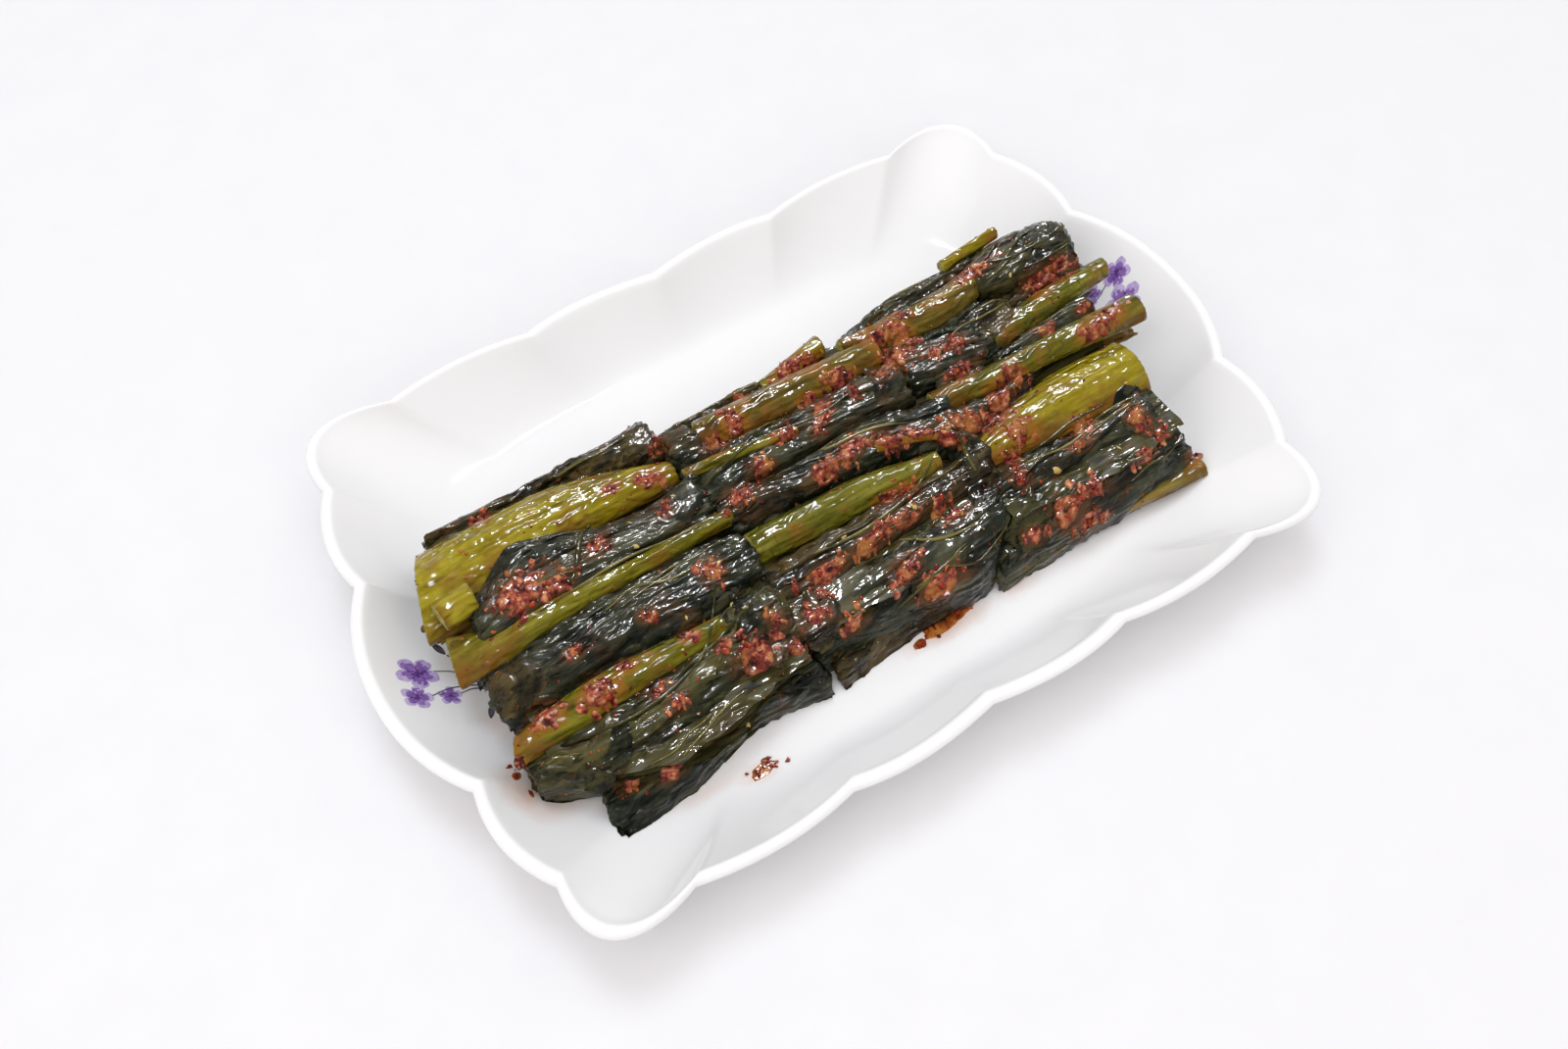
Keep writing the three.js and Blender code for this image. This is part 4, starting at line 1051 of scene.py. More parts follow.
def leaf_sheet(name, layer, cover, carried):
    """Points and faces of one sheet of a leaf. Layer 0 is the top one."""
    thick, fall_front, fall_back, _, stations = LEAVES[name]
    seed = seed_of(name) + 101 * layer
    start, end, widest = extent(stations)
    step_x, step_w = LEAF_STEP if layer == 0 else UNDER_STEP
    rows = max(8, int((end - start) / step_x))
    columns = max(8, int(widest * 1.35 / step_w))
    skirt = np.linspace(0, SKIRT, int(2 + (thick + 1) / step_w / 1.3))[1:]
    s = np.concatenate([-1 - skirt[::-1], np.linspace(-1, 1, columns), 1 + skirt])[None, :]
    columns = s.shape[1]
    t = np.linspace(0, 1, rows)[:, None]
    v = np.clip(s, -1, 1)
    over = np.abs(s) - np.abs(v)
    drop = over / SKIRT
    reach = 1.7 + 0.3 * layer
    lo = start + reach * fbm(v * widest / 5, 0.5, seed + 1, 4) - 0.3 * layer
    hi = end + reach * fbm(v * widest / 5, 7.5, seed + 2, 4) + 0.3 * layer
    x = lo + (hi - lo) * t
    front, back, top = along(stations, np.clip(x, start, end))
    front = front - 1.0 * fbm(x / 7, 3.5 * layer, seed + 3, 4) - 0.35 * layer
    back = back + 1.0 * fbm(x / 7, 9 + 3.5 * layer, seed + 4, 4) + 0.35 * layer
    middle, half = (front + back) / 2 + 0.8 * gnoise(x / 21, 0.5, seed), (back - front) / 2
    w = half * v
    height, tone, lean = wrinkles(x, w, TURN.get(name, (0, 0)), (start, end), seed)
    edge = smooth(np.abs(s), 0.86, 1.0)
    crown = crown_of(fall_front, fall_back, front, back, top, v, widest)
    y = middle + w + lean * (1 - 0.6 * edge)
    hang = 1.1 * fbm(x / 4.5 + drop, drop * 0.8 + np.sign(s), seed + 41, 3)
    crimp = 0.9 * (np.abs(gnoise(x / 2.1 + 1.5 * drop, drop * 1.7, seed + 43)) - 0.3)
    y = y + np.sign(s) * np.minimum(drop, 0.6) * (0.3 + hang + crimp)
    z = crown + height * (1 - 0.3 * edge) - 0.45 * edge - drop * (thick + 1.0) - SHEET_DROP * layer
    tip = smooth(np.abs(t - 0.5) * 2, 1 - 2.0 / (end - start), 1.0)
    z = z - 0.6 * tip * tip
    z = z - spread_out(np.maximum(0, z - read_map(cover, x, y) - 1.0 * (over > 0)))
    flat = over < 0.01
    short = np.maximum(0, read_map(carried, x, y) - SHEET_DROP * layer - z)
    z = z + spread_out(np.where(flat, short, 0)) * flat
    tone = tone + 0.35 * drop * gnoise(x / 2.1 + 1.5 * drop, drop * 1.7, seed + 43)
    # how high the leaf stands in its folds, lower down its skirt; the leaf look lays painted shade where
    # this is low
    proud = smooth(height, -1.0, 0.8) * (1 - 0.45 * drop)
    grid = np.stack([x, y, z, tone + 0 * z, proud + 0 * z], axis=-1)
    points = grid.reshape(-1, 5)
    faces = grid_faces(rows, columns)
    # both ends turn down a little way and so show some thickness, with painted shade on their turned-down
    # faces
    for row in (0, rows - 1):
        first = len(points)
        rim = points[row * columns:(row + 1) * columns] - (0, 0, 0.5 + 0.4 * thick, 0, 0.4)
        points = np.concatenate([points, rim])
        for c in range(columns - 1):
            a, b = row * columns + c, row * columns + c + 1
            quad = (first + c, first + c + 1, b, a)
            faces.append(quad if row == 0 else quad[::-1])
    return points, faces, grid[..., :3]


def make_leaf(name, cover, carried):
    """A leaf as three crumpled sheets, pressed under cover and lying over the stalks carried."""
    look = LEAVES[name][3]
    sheets = [leaf_sheet(name, layer, cover, carried) for layer in range(SHEETS)]
    points, faces = join_parts([sheet[:2] for sheet in sheets])
    piece = finish_piece(
        name + "_fine", points, faces, [LOOKS["leaf_" + look]], [name], "leaf_" + look)
    return piece, top_map(sheets[0][2])


def make_stacks():
    """All stalks and leaves, from the upper pieces to the lower."""
    stalk_tops = {name: top_map(stalk_rings(name)) for name in STALKS}
    cover = np.full(RELIEF_CELLS, NOTHING)
    pieces = []
    for n, name in enumerate(ORDER):
        if name in STALKS:
            pieces.append(make_stalk(name))
            top = stalk_tops[name]
        else:
            later = [stalk_tops[other] for other in ORDER[n:] if other in STALKS]
            carried = np.max(later, axis=0) + DRAPE if later else np.full(RELIEF_CELLS, -NOTHING)
            piece, top = make_leaf(name, cover, carried)
            pieces.append(piece)
        cover = np.minimum(cover, np.where(top > 0, top - TUCK, NOTHING))
    return pieces


CORE_SHEETS = 8
CORE_STEP = 1.6
CORE_COLUMNS = 44


def make_core(name):
    """The layers of leaf under a stack's pieces, one sheet over another with ragged edges."""
    stations = CORES[name]
    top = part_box(name)[1][2] / MM
    seed = seed_of(name)
    start, end = stations[0][0], stations[-1][0]
    rows = int((end - start) / CORE_STEP)
    t = np.linspace(0, 1, rows)[:, None]
    s = np.linspace(-1, 1, CORE_COLUMNS)[None, :]
    sheets = []
    for n in range(CORE_SHEETS):
        lo = start + 1.3 * fbm(s * 3, n * 5.1, seed, 3)
        hi = end + 1.3 * fbm(s * 3, n * 5.1 + 40, seed, 3)
        x = lo + (hi - lo) * t
        front, back = along(stations, np.clip(x, start, end))
        inset = 1.0 + 1.3 * fbm(x / 6, n * 3.3, seed + 1, 3)
        middle, half = (front + back) / 2, (back - front) / 2 - inset
        y = middle + half * s
        z = FLOOR_TOP + 0.9 + (top - FLOOR_TOP - 0.8) * n / (CORE_SHEETS - 1)
        wave = 0.75 * fbm(x / 7, y / 3.2, seed + 7 * n, 3) - 0.8 * smooth(np.abs(s), 0.85, 1)
        z = z + wave
        tone = 0.3 + 0.6 * hash01(n, 3, seed)
        # at 0.6 every core sheet takes a fixed share of the leaf look's painted crease shade
        sheets.append((sheet_points(x, y, z, tone, 0.6), grid_faces(rows, CORE_COLUMNS)))
    points, faces = join_parts(sheets)
    return finish_piece(name + "_layers", points, faces, [LOOKS["leaf_green"]], [name], "leaf_core")


# ---- paste, flakes and garlic

def tree_of(objects):
    """A search tree over the meshes of these objects, in millimetres."""
    points, faces = [], []
    for piece in objects:
        shift = len(points)
        points += [vertex.co / MM for vertex in piece.data.vertices]
        faces += [tuple(i + shift for i in polygon.vertices) for polygon in piece.data.polygons]
    return BVHTree.FromPolygons(points, faces)


def seen_at(tree, x, y):
    """Where the camera's line through x, y at the paste's level meets the food."""
    eye = Vector(CAMERA_AT)
    line = Vector((x, y, PASTE_LEVEL)) - eye
    hit, normal, _, _ = tree.ray_cast(eye, line.normalized())
    return (hit, normal) if hit is not None else (None, None)


def below(tree, x, y):
    """What lies straight under x, y: the place and the way it faces."""
    hit, normal, _, _ = tree.ray_cast(Vector((x, y, ABOVE_ALL)), Vector((0, 0, -1)))
    return (hit, normal) if hit is not None else (None, None)


PASTE_SLUMP = 1.8  # how far a patch may follow what it lies on, up or down
PASTE_REACH = 3  # how far up or down from its patch a bit of paste may land
FLAKE_SHARE = 0.3  # how many of the paste's chips are flakes
GARLIC_SHARE = 0.05  # how many of the specks are garlic
SPECKS = 1500
SPECK_X, SPECK_Y = (-92, 92), (-48, 32)
SPECKS_ABOVE = 11  # specks lie only on what is higher than this


def paste_blob(tree, centre, length, width, turn, height, seed):
    """A low ragged mound that lies on the food's surface."""
    spin = math.radians(turn)
    around = int(np.clip((length + width) * 3.2, 14, 60))
    rings = int(np.clip((length + width) * 0.8, 4, 10))
    angle = 2 * np.pi * np.arange(around) / around
    edge = 1 + 0.3 * fbm(np.cos(angle) * 1.4, np.sin(angle) * 1.4, seed, 3)
    bases = []
    for k in range(rings + 1):
        r = k / rings
        for a, e in zip(angle, edge):
            px, py = math.cos(a) * r * e * length / 2, math.sin(a) * r * e * width / 2
            x = centre[0] + px * math.cos(spin) - py * math.sin(spin)
            y = centre[1] + px * math.sin(spin) + py * math.cos(spin)
            hit, _ = below(tree, x, y)
            bases.append((x, y, hit.z if hit is not None else centre[2], r))
    table = np.array(bases)
    table[:, 2] = np.clip(table[:, 2], centre[2] - PASTE_SLUMP, centre[2] + PASTE_SLUMP)
    grain = np.abs(gnoise(table[:, 0] / 1.7, table[:, 1] / 1.7, seed + 2))
    fine = gnoise(table[:, 0] / 0.8, table[:, 1] / 0.8, seed + 3)
    r = table[:, 3]
    rise = height * np.sqrt(np.clip(1 - r**2, 0, 1)) * (0.55 + 0.7 * grain) + 0.14 * fine * (1 - r)
    z = table[:, 2] + rise - 0.35 * (r > 0.99)
    points = np.column_stack([table[:, 0], table[:, 1], z])
    tone = 0.16 * gnoise(table[:, 0] / 1.5, table[:, 1] / 1.5, seed + 4)
    proud = np.clip(rise / height, 0, 1)
    return toned(points, tone, proud), grid_faces(rings + 1, around, wrap=True)


def toned(points, tone, proud=1.0):
    """The points with their tone and how proud they stand as two more columns."""
    columns = [np.broadcast_to(value, len(points)) for value in (tone, proud)]
    return np.column_stack([points, *columns])


def chip(centre, normal, size, rng, flat=0.35):
    """A small irregular lump: a squashed, knocked-about octahedron, subdivided once."""
    base = np.array([(1, 0, 0), (0, 1, 0), (-1, 0, 0), (0, -1, 0), (0, 0, 1), (0, 0, -1)], float)
    faces = [(0, 1, 4), (1, 2, 4), (2, 3, 4), (3, 0, 4), (1, 0, 5), (2, 1, 5), (3, 2, 5), (0, 3, 5)]
    points = list(base)
    made, finer = {}, []
    for a, b, c in faces:
        middle = []
        for p, q in ((a, b), (b, c), (c, a)):
            key = (min(p, q), max(p, q))
            if key not in made:
                made[key] = len(points)
                points.append((points[p] + points[q]) / 2 * 1.25)
            middle.append(made[key])
        ab, bc, ca = middle
        finer += [(a, ab, ca), (ab, b, bc), (ca, bc, c), (ab, bc, ca)]
    cloud = np.array(points) * (1 + 0.28 * (rng.random((len(points), 1)) - 0.5) * 2)
    cloud *= (size * (0.7 + 0.6 * rng.random()), size * (0.45 + 0.4 * rng.random()), size * flat)
    turn = Vector(normal).to_track_quat("Z", "Y").to_matrix() @ Matrix.Rotation(
        rng.random() * 2 * math.pi, 3, "Z")
    tilt = Matrix.Rotation((rng.random() - 0.5) * 0.9, 3, "X")
    return toned(cloud @ np.array(turn @ tilt).T + np.array(centre), rng.uniform(-0.18, 0.12)), finer


def join_parts(parts):
    """The points and faces of several parts as those of one."""
    points, faces, shift = [], [], 0
    for p, f in parts:
        points.append(p)
        faces += [tuple(i + shift for i in face) for face in f]
        shift += len(p)
    return np.concatenate(points), faces


def make_paste(tree):
    rng = np.random.default_rng(11)
    blobs, flakes, bits = [], [], []
    for n, (x, y, length, width, turn) in enumerate(PASTE):
        hit, _ = seen_at(tree, x, y)
        if hit is None:
            continue
        height = 0.25 + 0.09 * min(length, width)
        blobs.append(paste_blob(tree, hit, length, width, turn, height, 300 + n))
        for _ in range(int(2 + length * width / 4)):
            spin = rng.random() * 2 * math.pi
            r = 0.45 + 0.4 * rng.random()
            dx, dy = turned(math.cos(spin) * r * length, math.sin(spin) * r * width, turn)
            place, _ = below(tree, hit.x + dx, hit.y + dy)
            if place is not None and abs(place.z - hit.z) < PASTE_REACH:
                small = 0.8 + 1.5 * rng.random() ** 2
                blobs.append(paste_blob(tree, place, small * 1.5, small, rng.random() * 180,
                                        0.2 + 0.15 * small, int(rng.integers(9999))))
        for _ in range(int(3 + length * width * 0.5)):
            spin, r = rng.random() * 2 * math.pi, math.sqrt(rng.random()) * 0.56
            dx, dy = turned(math.cos(spin) * r * length, math.sin(spin) * r * width, turn)
            place, up = below(tree, hit.x + dx, hit.y + dy)
            if place is None or abs(place.z - hit.z) > PASTE_REACH:
                continue
            lift = height * max(0.1, 1 - (r / 0.5) ** 2)
            size = 0.25 + 1.1 * rng.random() ** 3
            grain = chip(place + Vector((0, 0, lift * (1 - 0.45 * size))), up, size, rng, 0.36)
            (flakes if rng.random() < FLAKE_SHARE else blobs).append(grain)
    for x, y in GARLIC:
        hit, normal = seen_at(tree, x, y)
        if hit is not None:
            bits.append(chip(hit + normal * 0.3, normal, 0.9 + 0.5 * rng.random(), rng, 0.55))
    for _ in range(SPECKS):
        x, y = rng.uniform(*SPECK_X), rng.uniform(*SPECK_Y)
        hit, normal = below(tree, x, y)
        if hit is None or hit.z < SPECKS_ABOVE:
            continue
        if gnoise(x / 12, y / 6, 77) < 0.0 and rng.random() < 0.8:
            continue
        size = 0.25 + 0.4 * rng.random() ** 2
        speck = chip(hit + normal * 0.06, normal, size, rng, 0.3)
        (bits if rng.random() < GARLIC_SHARE else flakes).append(speck)
    for name, parts in (("paste", blobs), ("flakes", flakes), ("garlic", bits)):
        finish_piece(name, *join_parts(parts), [LOOKS[name]])


# leaf ends and scraps that lie crumpled over the stacks:
# (x, y, length, width, turn in degrees, how far it bends to its left end, look)
SCRAPS = [
    (-31.5, -31.5, 19, 12, 68, 3.0, "green"), (-31, 4, 12, 9, 62, 2.0, "dark"),
    (31.5, -25, 20, 9, 78, 3.0, "dark"), (-20.5, -36, 12, 10, 40, 1.5, "brown"),
    (-84, -15, 10, 12, 80, 1.5, "brown"), (-20, -2, 9, 10, 60, 1.0, "dark"),
    (85, 20, 10, 9, 50, 2.0, "dark"), (36, -41, 12, 9, 30, 2.0, "green"),
    (72, -31, 12, 10, 60, -2.0, "dark"), (27, 6, 11, 9, 70, 2.0, "dark"),
    (-76, -38, 14, 9, 20, 2.0, "green"), (60, 8, 14, 8, 20, -1.5, "brown"),
    (-30, 25, 10, 8, 50, 1.5, "brown"), (9, -38, 16, 9, 15, -2.0, "dark"),
]
SCRAP_STEP = 0.5
SCRAP_DEEPEST = 5.0  # how far below its middle a scrap may hang


def make_scrap(tree, row, seed):
    """A crumpled sheet that lies on what is under it, with ragged edges."""
    x0, y0, length, width, turn, bend, _ = row
    rows, columns = int(length / SCRAP_STEP), int(width / SCRAP_STEP)
    t, v = np.linspace(-1, 1, rows)[:, None], np.linspace(-1, 1, columns)[None, :]
    a = t * length / 2 * (1 + 0.25 * fbm(v * 2.6, 0.5, seed, 3))
    b = v * width / 2 * (1 + 0.3 * fbm(t * 2.6, 7.5, seed + 1, 3)) * (1 - 0.3 * t * t) + bend * t * t
    spin = math.radians(turn)
    x, y = x0 + a * math.cos(spin) - b * math.sin(spin), y0 + a * math.sin(spin) + b * math.cos(spin)
    middle, _ = below(tree, x0, y0)
    lies_on = np.full(x.shape, middle.z - SCRAP_DEEPEST)
    for place in np.ndindex(x.shape):
        hit, _ = below(tree, x[place], y[place])
        if hit is not None:
            lies_on[place] = max(hit.z, lies_on[place])
    soft = lies_on
    for _ in range(6):
        padded = np.pad(soft, 1, mode="edge")
        soft = (padded[:-2, 1:-1] + padded[2:, 1:-1] + padded[1:-1, :-2] + padded[1:-1, 2:]) / 4
    height, tone, _ = wrinkles(a, b, (-14, 14), (-length / 2, length / 2), seed)
    rim = smooth(np.maximum(np.abs(t), np.abs(v)), 0.7, 1.0)
    z = soft + 0.5 + 0.6 * height * (1 - 0.6 * rim) - 0.5 * rim
    z = np.maximum(z, lies_on + 0.15 - 0.4 * (rim > 0.999))
    # the leaf look lays painted shade where a scrap's folds lie low
    return sheet_points(x, y, z, tone, smooth(height, -1.0, 0.8)), grid_faces(rows, columns)


def make_scraps(tree):
    pieces = []
    for n, row in enumerate(SCRAPS):
        sheet = make_scrap(tree, row, 1200 + 7 * n)
        pieces.append(finish_piece(f"leaf_scrap_{n}_fine", *sheet, [LOOKS["leaf_" + row[-1]]]))
    return pieces


# the ribs that lead the eye: points where the camera's line crosses the paste's level, then the width
RIBS = [
    ([(-52.0, 10.5), (-55.5, 8.6), (-58.6, 4.6), (-61.4, 0.9), (-63.2, -1.0)], 1.3),
    ([(-31.0, -3.5), (-45.0, -2.2), (-55.0, -2.0), (-62.0, -2.8), (-72.0, -3.2)], 0.8),
    ([(-60.0, -10.5), (-52.0, -9.0), (-43.0, -12.0), (-32.0, -12.5)], 0.8),
    ([(-82.0, -34.0), (-66.0, -36.5), (-50.0, -33.0), (-42.0, -26.0), (-36.0, -18.0)], 0.9),
    ([(34.5, -12.5), (31.0, -19.5), (29.5, -26.0)], 1.2),
    ([(4.0, -31.0), (12.0, -36.0), (22.0, -38.5)], 0.9),
    ([(-14.0, -23.5), (-2.0, -24.5), (12.0, -23.0), (26.0, -16.0)], 1.1),
    ([(40.0, -30.5), (52.0, -31.5), (64.0, -29.0), (76.0, -30.5)], 0.8),
    ([(-24.0, 6.0), (-10.0, 9.5), (6.0, 7.0), (20.0, 9.0)], 0.9),
    ([(64.0, 25.0), (74.0, 22.0), (86.0, 21.5)], 1.0),
]


RIB_SIDES = 8


def make_rib(tree, places, width, rng):
    """A leaf's rib: a thin tapering tube that follows the leaf's surface."""
    t = np.linspace(0, 1, max(10, int(8 * len(places))))
    x, y = along([(n / (len(places) - 1), *p) for n, p in enumerate(places)], t)
    y = y + 0.7 * gnoise(t * 3.1, 0.5, int(rng.integers(9999)))
    spots = []
    tone = rng.uniform(-0.1, 0.1)
    for px, py in zip(x, y):
        hit, _ = seen_at(tree, px, py)
        if hit is not None:
            spots.append(np.array(hit))
    spots = np.array(spots)
    for _ in range(2):
        spots[1:-1] = (spots[:-2] + 2 * spots[1:-1] + spots[2:]) / 4
    ahead = np.gradient(spots, axis=0)
    side = np.column_stack([-ahead[:, 1], ahead[:, 0], 0 * ahead[:, 0]])
    side /= np.linalg.norm(side, axis=1)[:, None] + 1e-9
    half = width / 2 * (0.35 + 0.65 * np.sin(math.pi * np.linspace(0.08, 0.98, len(spots))))
    rings = []
    for n in range(RIB_SIDES):
        a = 2 * math.pi * n / RIB_SIDES
        rings.append(spots + side * (half * math.cos(a))[:, None]
                     + np.outer(half * 0.7 * math.sin(a) + 0.12, (0, 0, 1)))
    points = toned(np.stack(rings, axis=1).reshape(-1, 3), tone)
    return points, tube_faces(len(spots), RIB_SIDES)


def make_ribs(tree):
    rng = np.random.default_rng(31)
    parts = [make_rib(tree, places, width, rng) for places, width in RIBS]
    for *_, stations in LEAVES.values():
        start, end = stations[0][0], stations[-1][0]
        for _ in range(int((stations[0][2] - stations[0][1]) / 5)):
            a = rng.uniform(start + 2, max(start + 3, end - 14))
            b = min(end - 1, a + rng.uniform(12, 30))
            place = rng.uniform(0.15, 0.85)
            lift = rng.uniform(-0.18, 0.18)
            places = []
            for k in range(4):
                x = a + (b - a) * k / 3
                front, back, _ = along(stations, x)
                y = float(front + (back - front) * np.clip(place + lift * k / 3, 0.08, 0.92))
                top, _ = below(tree, x, y)
                height = top.z if top is not None else PASTE_LEVEL
                places.append(at_paste_level(x, y, height))
            parts.append(make_rib(tree, places, rng.uniform(0.45, 0.9), rng))
    finish_piece("leaf_ribs", *join_parts(parts), [LOOKS["rib"]])


# torn strips of stalk and leaf that stick out under the stacks' ends, by look:
# (x, y, z of the outer end, x, y, z of the hidden end, width)
SHREDS = {
    "stalk_olive": [
        (-94.5, 10.5, 19, -82, 13, 22, 6.0), (-93.5, 7.2, 20, -80, 8.5, 22, 4.6),
        (-92.0, 4.5, 18, -80, 5.5, 20, 4.5), (-90, 18, 19, -80, 18.5, 21, 6.0),
        (-88.5, -12, 15, -79, -11, 18, 4.4), (91, -10, 19, 80, -9.5, 20, 4.0),
        (91.5, 7.5, 18, 80, 6, 20, 4.2), (86, 22, 18, 76, 20, 20, 5.0),
        (83.5, -33, 13, 74, -31, 16, 4.4), (27.5, -37, 9, 14, -36, 12, 4.0),
        (30, -42, 8.4, 40, -41, 10, 3.6),
    ],
    "leaf_brown": [
        (-89.5, -7, 16, -80, -6, 19, 4.5), (-88, 24, 18, -78, 23.5, 20, 5.0),
        (-88, -17, 14, -78, -16, 17, 4.0), (-88, -22, 13, -78, -21, 16, 3.4),
        (92.5, -2, 18, 80, -3, 20, 3.6), (88, 15, 19, 78, 14, 21, 5.0), (84, -22, 16, 74, -21, 18, 5.0),
    ],
}


SHRED_ROWS, SHRED_SIDES = 26, 20


def make_shred(row, seed):
    """One flattened ribbed strip, ragged at its outer end."""
    start, end, width = np.array(row[:3], float), np.array(row[3:6], float), row[6]
    t = np.linspace(0, 1, SHRED_ROWS)[:, None]
    angle = 2 * np.pi * np.arange(SHRED_SIDES) / SHRED_SIDES
    ahead = (end - start) / np.linalg.norm(end - start)
    side = np.array((-ahead[1], ahead[0], 0.0))
    across = np.cos(angle) * width / 2 * (0.75 + 0.25 * smooth(t, 0, 0.3))
    up = 0.8 * np.sin(angle) + 0.3 * np.cos(3 * angle) + 0.4 * gnoise(t * 5, np.cos(angle) * 1.5, seed)
    ragged = 1.4 * gnoise(np.cos(angle) * 2.2, 0.5, seed + 1) * (1 - smooth(t, 0, 0.2))
    line = start + (end - start) * t
    place = line[:, None, :] + ragged[..., None] * ahead + across[..., None] * side
    place[..., 2] += up + 0.48 * np.sin(math.pi * t)
    # 0.3 lays painted crease shade over the leaf strips and browns the stalk strips
    points = toned(place.reshape(-1, 3), 0.12 * gnoise(seed * 0.37, 0.5, 3), 0.3)
    return points, tube_faces(SHRED_ROWS, SHRED_SIDES)


def make_shreds():
    for look, rows in SHREDS.items():
        strips = [make_shred(row, 900 + n) for n, row in enumerate(rows)]
        finish_piece("end_strips_" + look, *join_parts(strips), [LOOKS[look]])


# sauce that lies on the china: (x, y, length, width, turn)
SAUCE = [(-47, -53.5, 7, 3.6, 10), (-45.6, -52.2, 3, 2.4, 60), (-41.5, -54.5, 1.2, 0.7, 0),
         (8, -45.6, 15, 4.4, 4), (15, -44.2, 6, 4, 30), (0, -47, 4, 2.6, 10),
         (-93.4, -27, 3.2, 2.2, 50), (-92.6, -32.2, 2.4, 1.2, 80), (-94, -24, 1.4, 0.9, 20)]


def make_sauce(tree):
    rng = np.random.default_rng(23)
    pools, bits = [], []
    for n, (x, y, length, width, turn) in enumerate(SAUCE):
        hit, _ = below(tree, x, y)
        pools.append(paste_blob(tree, hit, length, width, turn, 0.22, 700 + n))
        for _ in range(int(2 + length * width / 4)):
            dx, dy = turned(*((rng.random(2) - 0.5) * (length, width)), turn)
            place, up = below(tree, x + dx, y + dy)
            if place is not None:
                bits.append(chip(place + up * 0.3, up, 0.3 + 0.5 * rng.random(), rng, 0.5))
    for name, parts, look in (("sauce", pools, "sauce"), ("sauce_bits", bits, "flakes")):
        finish_piece(name, *join_parts(parts), [LOOKS[look]])


# ---- the printed sprigs

# (along the wall, up the wall, radius, turn) of each blossom, and the points of each stem
BLOSSOMS = [(-3.0, 0.6, 4.4, 10), (3.6, 3.2, 3.3, 60), (4.4, -3.4, 2.6, -20)]
STEMS = [
    [(-3, -3), (-1.5, -7), (2.5, -10.5), (8, -12)],
    [(3.6, 0.4), (2.4, -4), (3.2, -8.5), (4.6, -11.2)],
    [(4.4, -5.6), (4.2, -8.5), (5.6, -11.4)],
    [(-1.2, -7.4), (-4.2, -8.6), (-6.4, -7.4)],
]
SPRIG_LEAVES = [(-6.6, -7.2, 4.4, 1.7, 160), (0.4, -12.2, 4.6, 1.6, 215), (9.6, -10.6, 4.2, 1.5, 30)]
STEM_WIDTH = 0.45
PRINT_LIFT = 0.05
# each sprig's side of the dish, and the distance of its middle from the dish's
SPRIGS = {"sprig_left": (-1, (100.0, 3.5)), "sprig_right": (1, (99.5, 6.0))}


def on_wall(side, place, a, b):
    """The point of the china under the sprig's own a (along the wall) and b (up the wall)."""
    x, y = side * (place[0] + b), place[1] + a
    hit, normal = below(CHINA[0], x, y)
    if normal.z < 0:
        normal = -normal
    return np.array(hit + normal * PRINT_LIFT)


def printed_blossom(centre, radius, turn, put):
    """A five-petalled blossom: rings of points, its faces marked by ink."""
    around, rings = 70, 7
    points, faces, inks = [], [], []
    for k in range(rings + 1):
        for n in range(around):
            angle = 2 * math.pi * n / around
            lobe = 0.58 + 0.42 * abs(math.cos(2.5 * angle)) ** 0.6
            lobe *= 1 + 0.07 * float(gnoise(3 * math.cos(angle), 3 * math.sin(angle), int(radius * 10)))
            r = radius * lobe * k / rings
            spin = angle + math.radians(turn)
            points.append(put(centre[0] + r * math.cos(spin), centre[1] + r * math.sin(spin)))
    for face, quad in enumerate(grid_faces(rings + 1, around, wrap=True)):
        k, n = divmod(face, around)
        seam = abs(math.cos(2.5 * 2 * math.pi * (n + 0.5) / around)) < 0.3
        patch = float(gnoise(n / 5, k / 2, int(radius * 10) + 5))
        deep = k == 0 or (seam and k < 5) or (k == 1 and patch > -0.1)
        faces.append(quad)
        inks.append(DEEP if deep else (MIDDLE if k + 2.2 * patch < 4.6 else PALE))
    return np.array(points), faces, inks


def printed_line(places, width, put):
    """A thin tapering stem through these places."""
    t = np.linspace(0, 1, 24)
    spots = np.array(along([(n / (len(places) - 1), *p) for n, p in enumerate(places)], t)).T
    ahead = np.gradient(spots, axis=0)
    side = np.column_stack([-ahead[:, 1], ahead[:, 0]])
    side /= np.linalg.norm(side, axis=1)[:, None]
    half = (width * (0.6 + 0.4 * t) / 2)[:, None]
    rows = [[put(*(p - o)), put(*(p + o))] for p, o in zip(spots, side * half)]
    return np.array(rows).reshape(-1, 3), grid_faces(len(rows), 2)


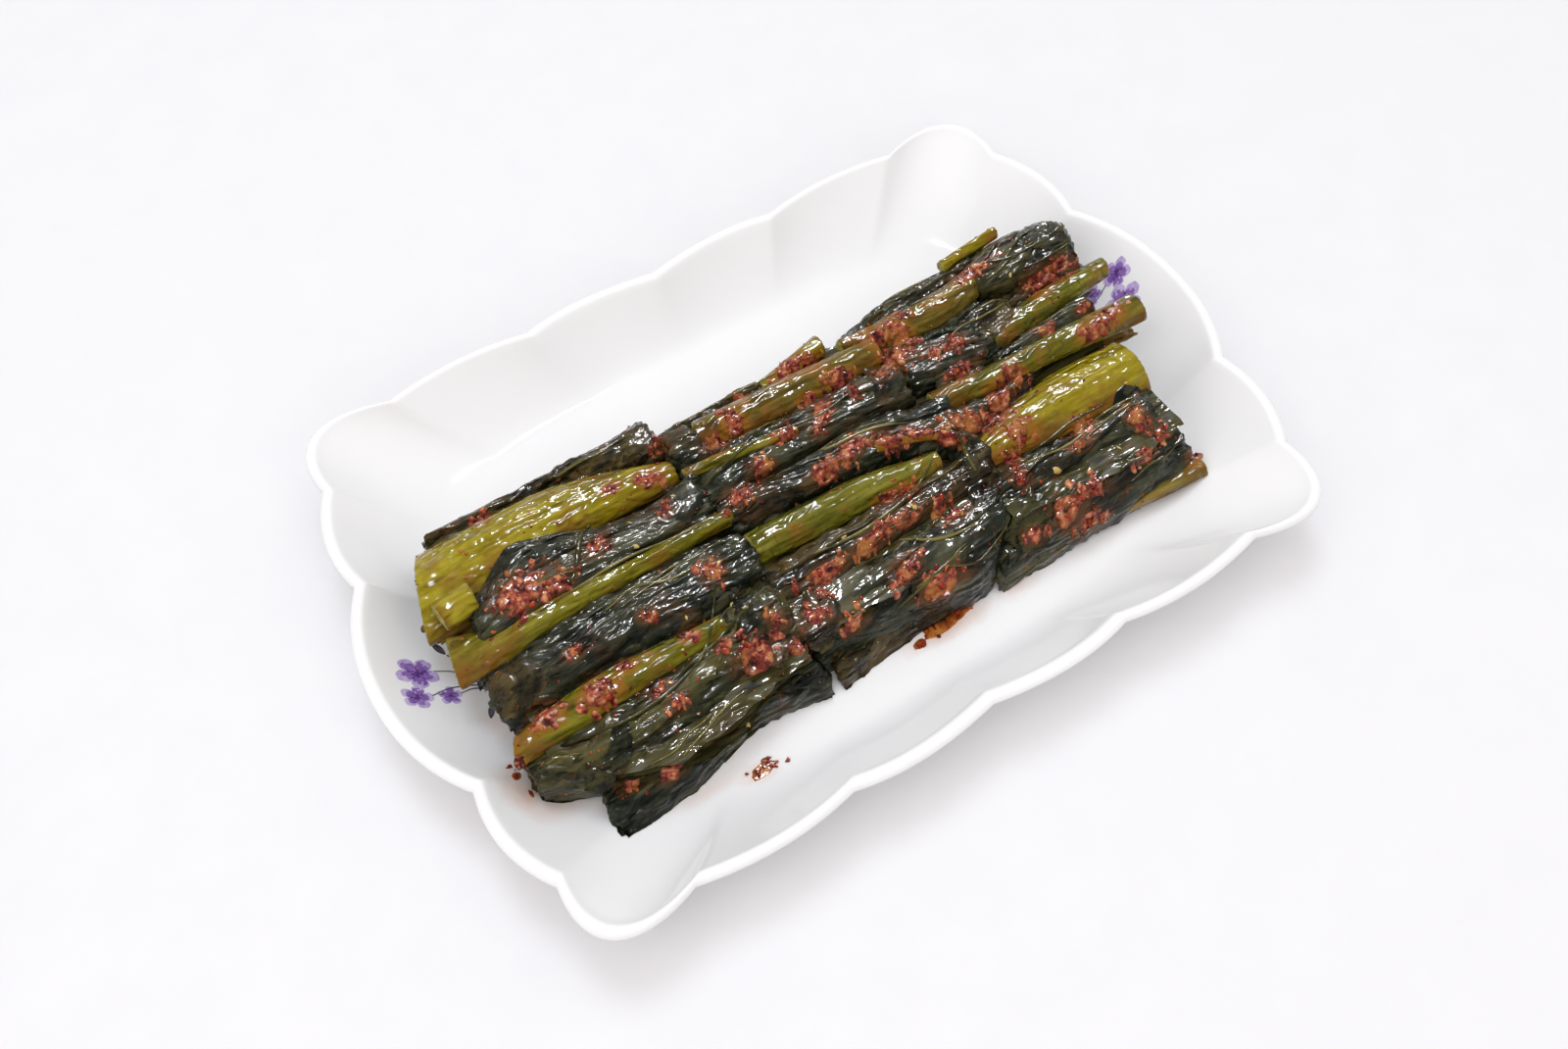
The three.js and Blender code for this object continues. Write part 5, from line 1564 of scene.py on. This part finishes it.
def printed_leaf(a, b, length, width, turn, put):
    """A pointed leaf that starts at a, b."""
    rows = []
    for part in np.linspace(0, 1, 14):
        half = width / 2 * math.sin(math.pi * part) ** 0.8
        row = []
        for v in (-1, -0.35, 0.35, 1):
            dx, dy = turned(part * length, v * half, turn)
            row.append(put(a + dx, b + dy))
        rows.append(row)
    return np.array(rows).reshape(-1, 3), grid_faces(len(rows), 4)


def make_sprigs():
    for name, (side, place) in SPRIGS.items():
        parts, inks = [], []

        def put(a, b):
            return on_wall(side, place, -a if side < 0 else a, b)

        for a, b, radius, turn in BLOSSOMS:
            points, faces, marks = printed_blossom((a, b), radius, turn, put)
            parts.append((points, faces))
            inks += marks
        lines = [printed_line(stem, STEM_WIDTH, put) for stem in STEMS]
        lines += [printed_leaf(*leaf, put) for leaf in SPRIG_LEAVES]
        for points, faces in lines:
            parts.append((points, faces))
            inks += [STEM] * len(faces)
        finish_piece(name, *join_parts(parts), [LOOKS[ink] for ink in DECAL_INKS], face_material=inks)


# ---- the scene

LOOKS = {"porcelain": porcelain(), "cut": cut_look(), "paste": paste_look(), "flakes": flake_look(),
         "garlic": garlic_look(), "sauce": sauce_look(), "rib": rib_look()}
for ink in DECAL_INKS:
    LOOKS[ink] = ink_look(ink)
for tone in LEAF_TONES:
    LOOKS["leaf_" + tone] = leaf_look(tone)
for tone in STALK_TONES:
    LOOKS["stalk_" + tone] = stalk_look(tone)

make_camera()
make_world()
make_floor()
CHINA = [tree_of([make_dish()])]
food = make_stacks()
cores = [make_core(name) for name in CORES]
food += make_scraps(tree_of(food + cores))
top_tree = tree_of(food + cores)
make_ribs(top_tree)
make_paste(top_tree)
make_shreds()
make_sauce(CHINA[0])
make_sprigs()

bpy.context.scene.view_settings.view_transform = "Standard"
for lamp in SOFT_LAMPS:
    make_lamp(*lamp, gloss=False)
for number, (azimuth, elevation) in enumerate(SPARKS):
    make_lamp(f"spark_{number}", azimuth, elevation, SPARK_DISTANCE, SPARK_SIZE, SPARK_POWER, only_on=WET)
make_lamp(*GLINT, only_on=DRY)
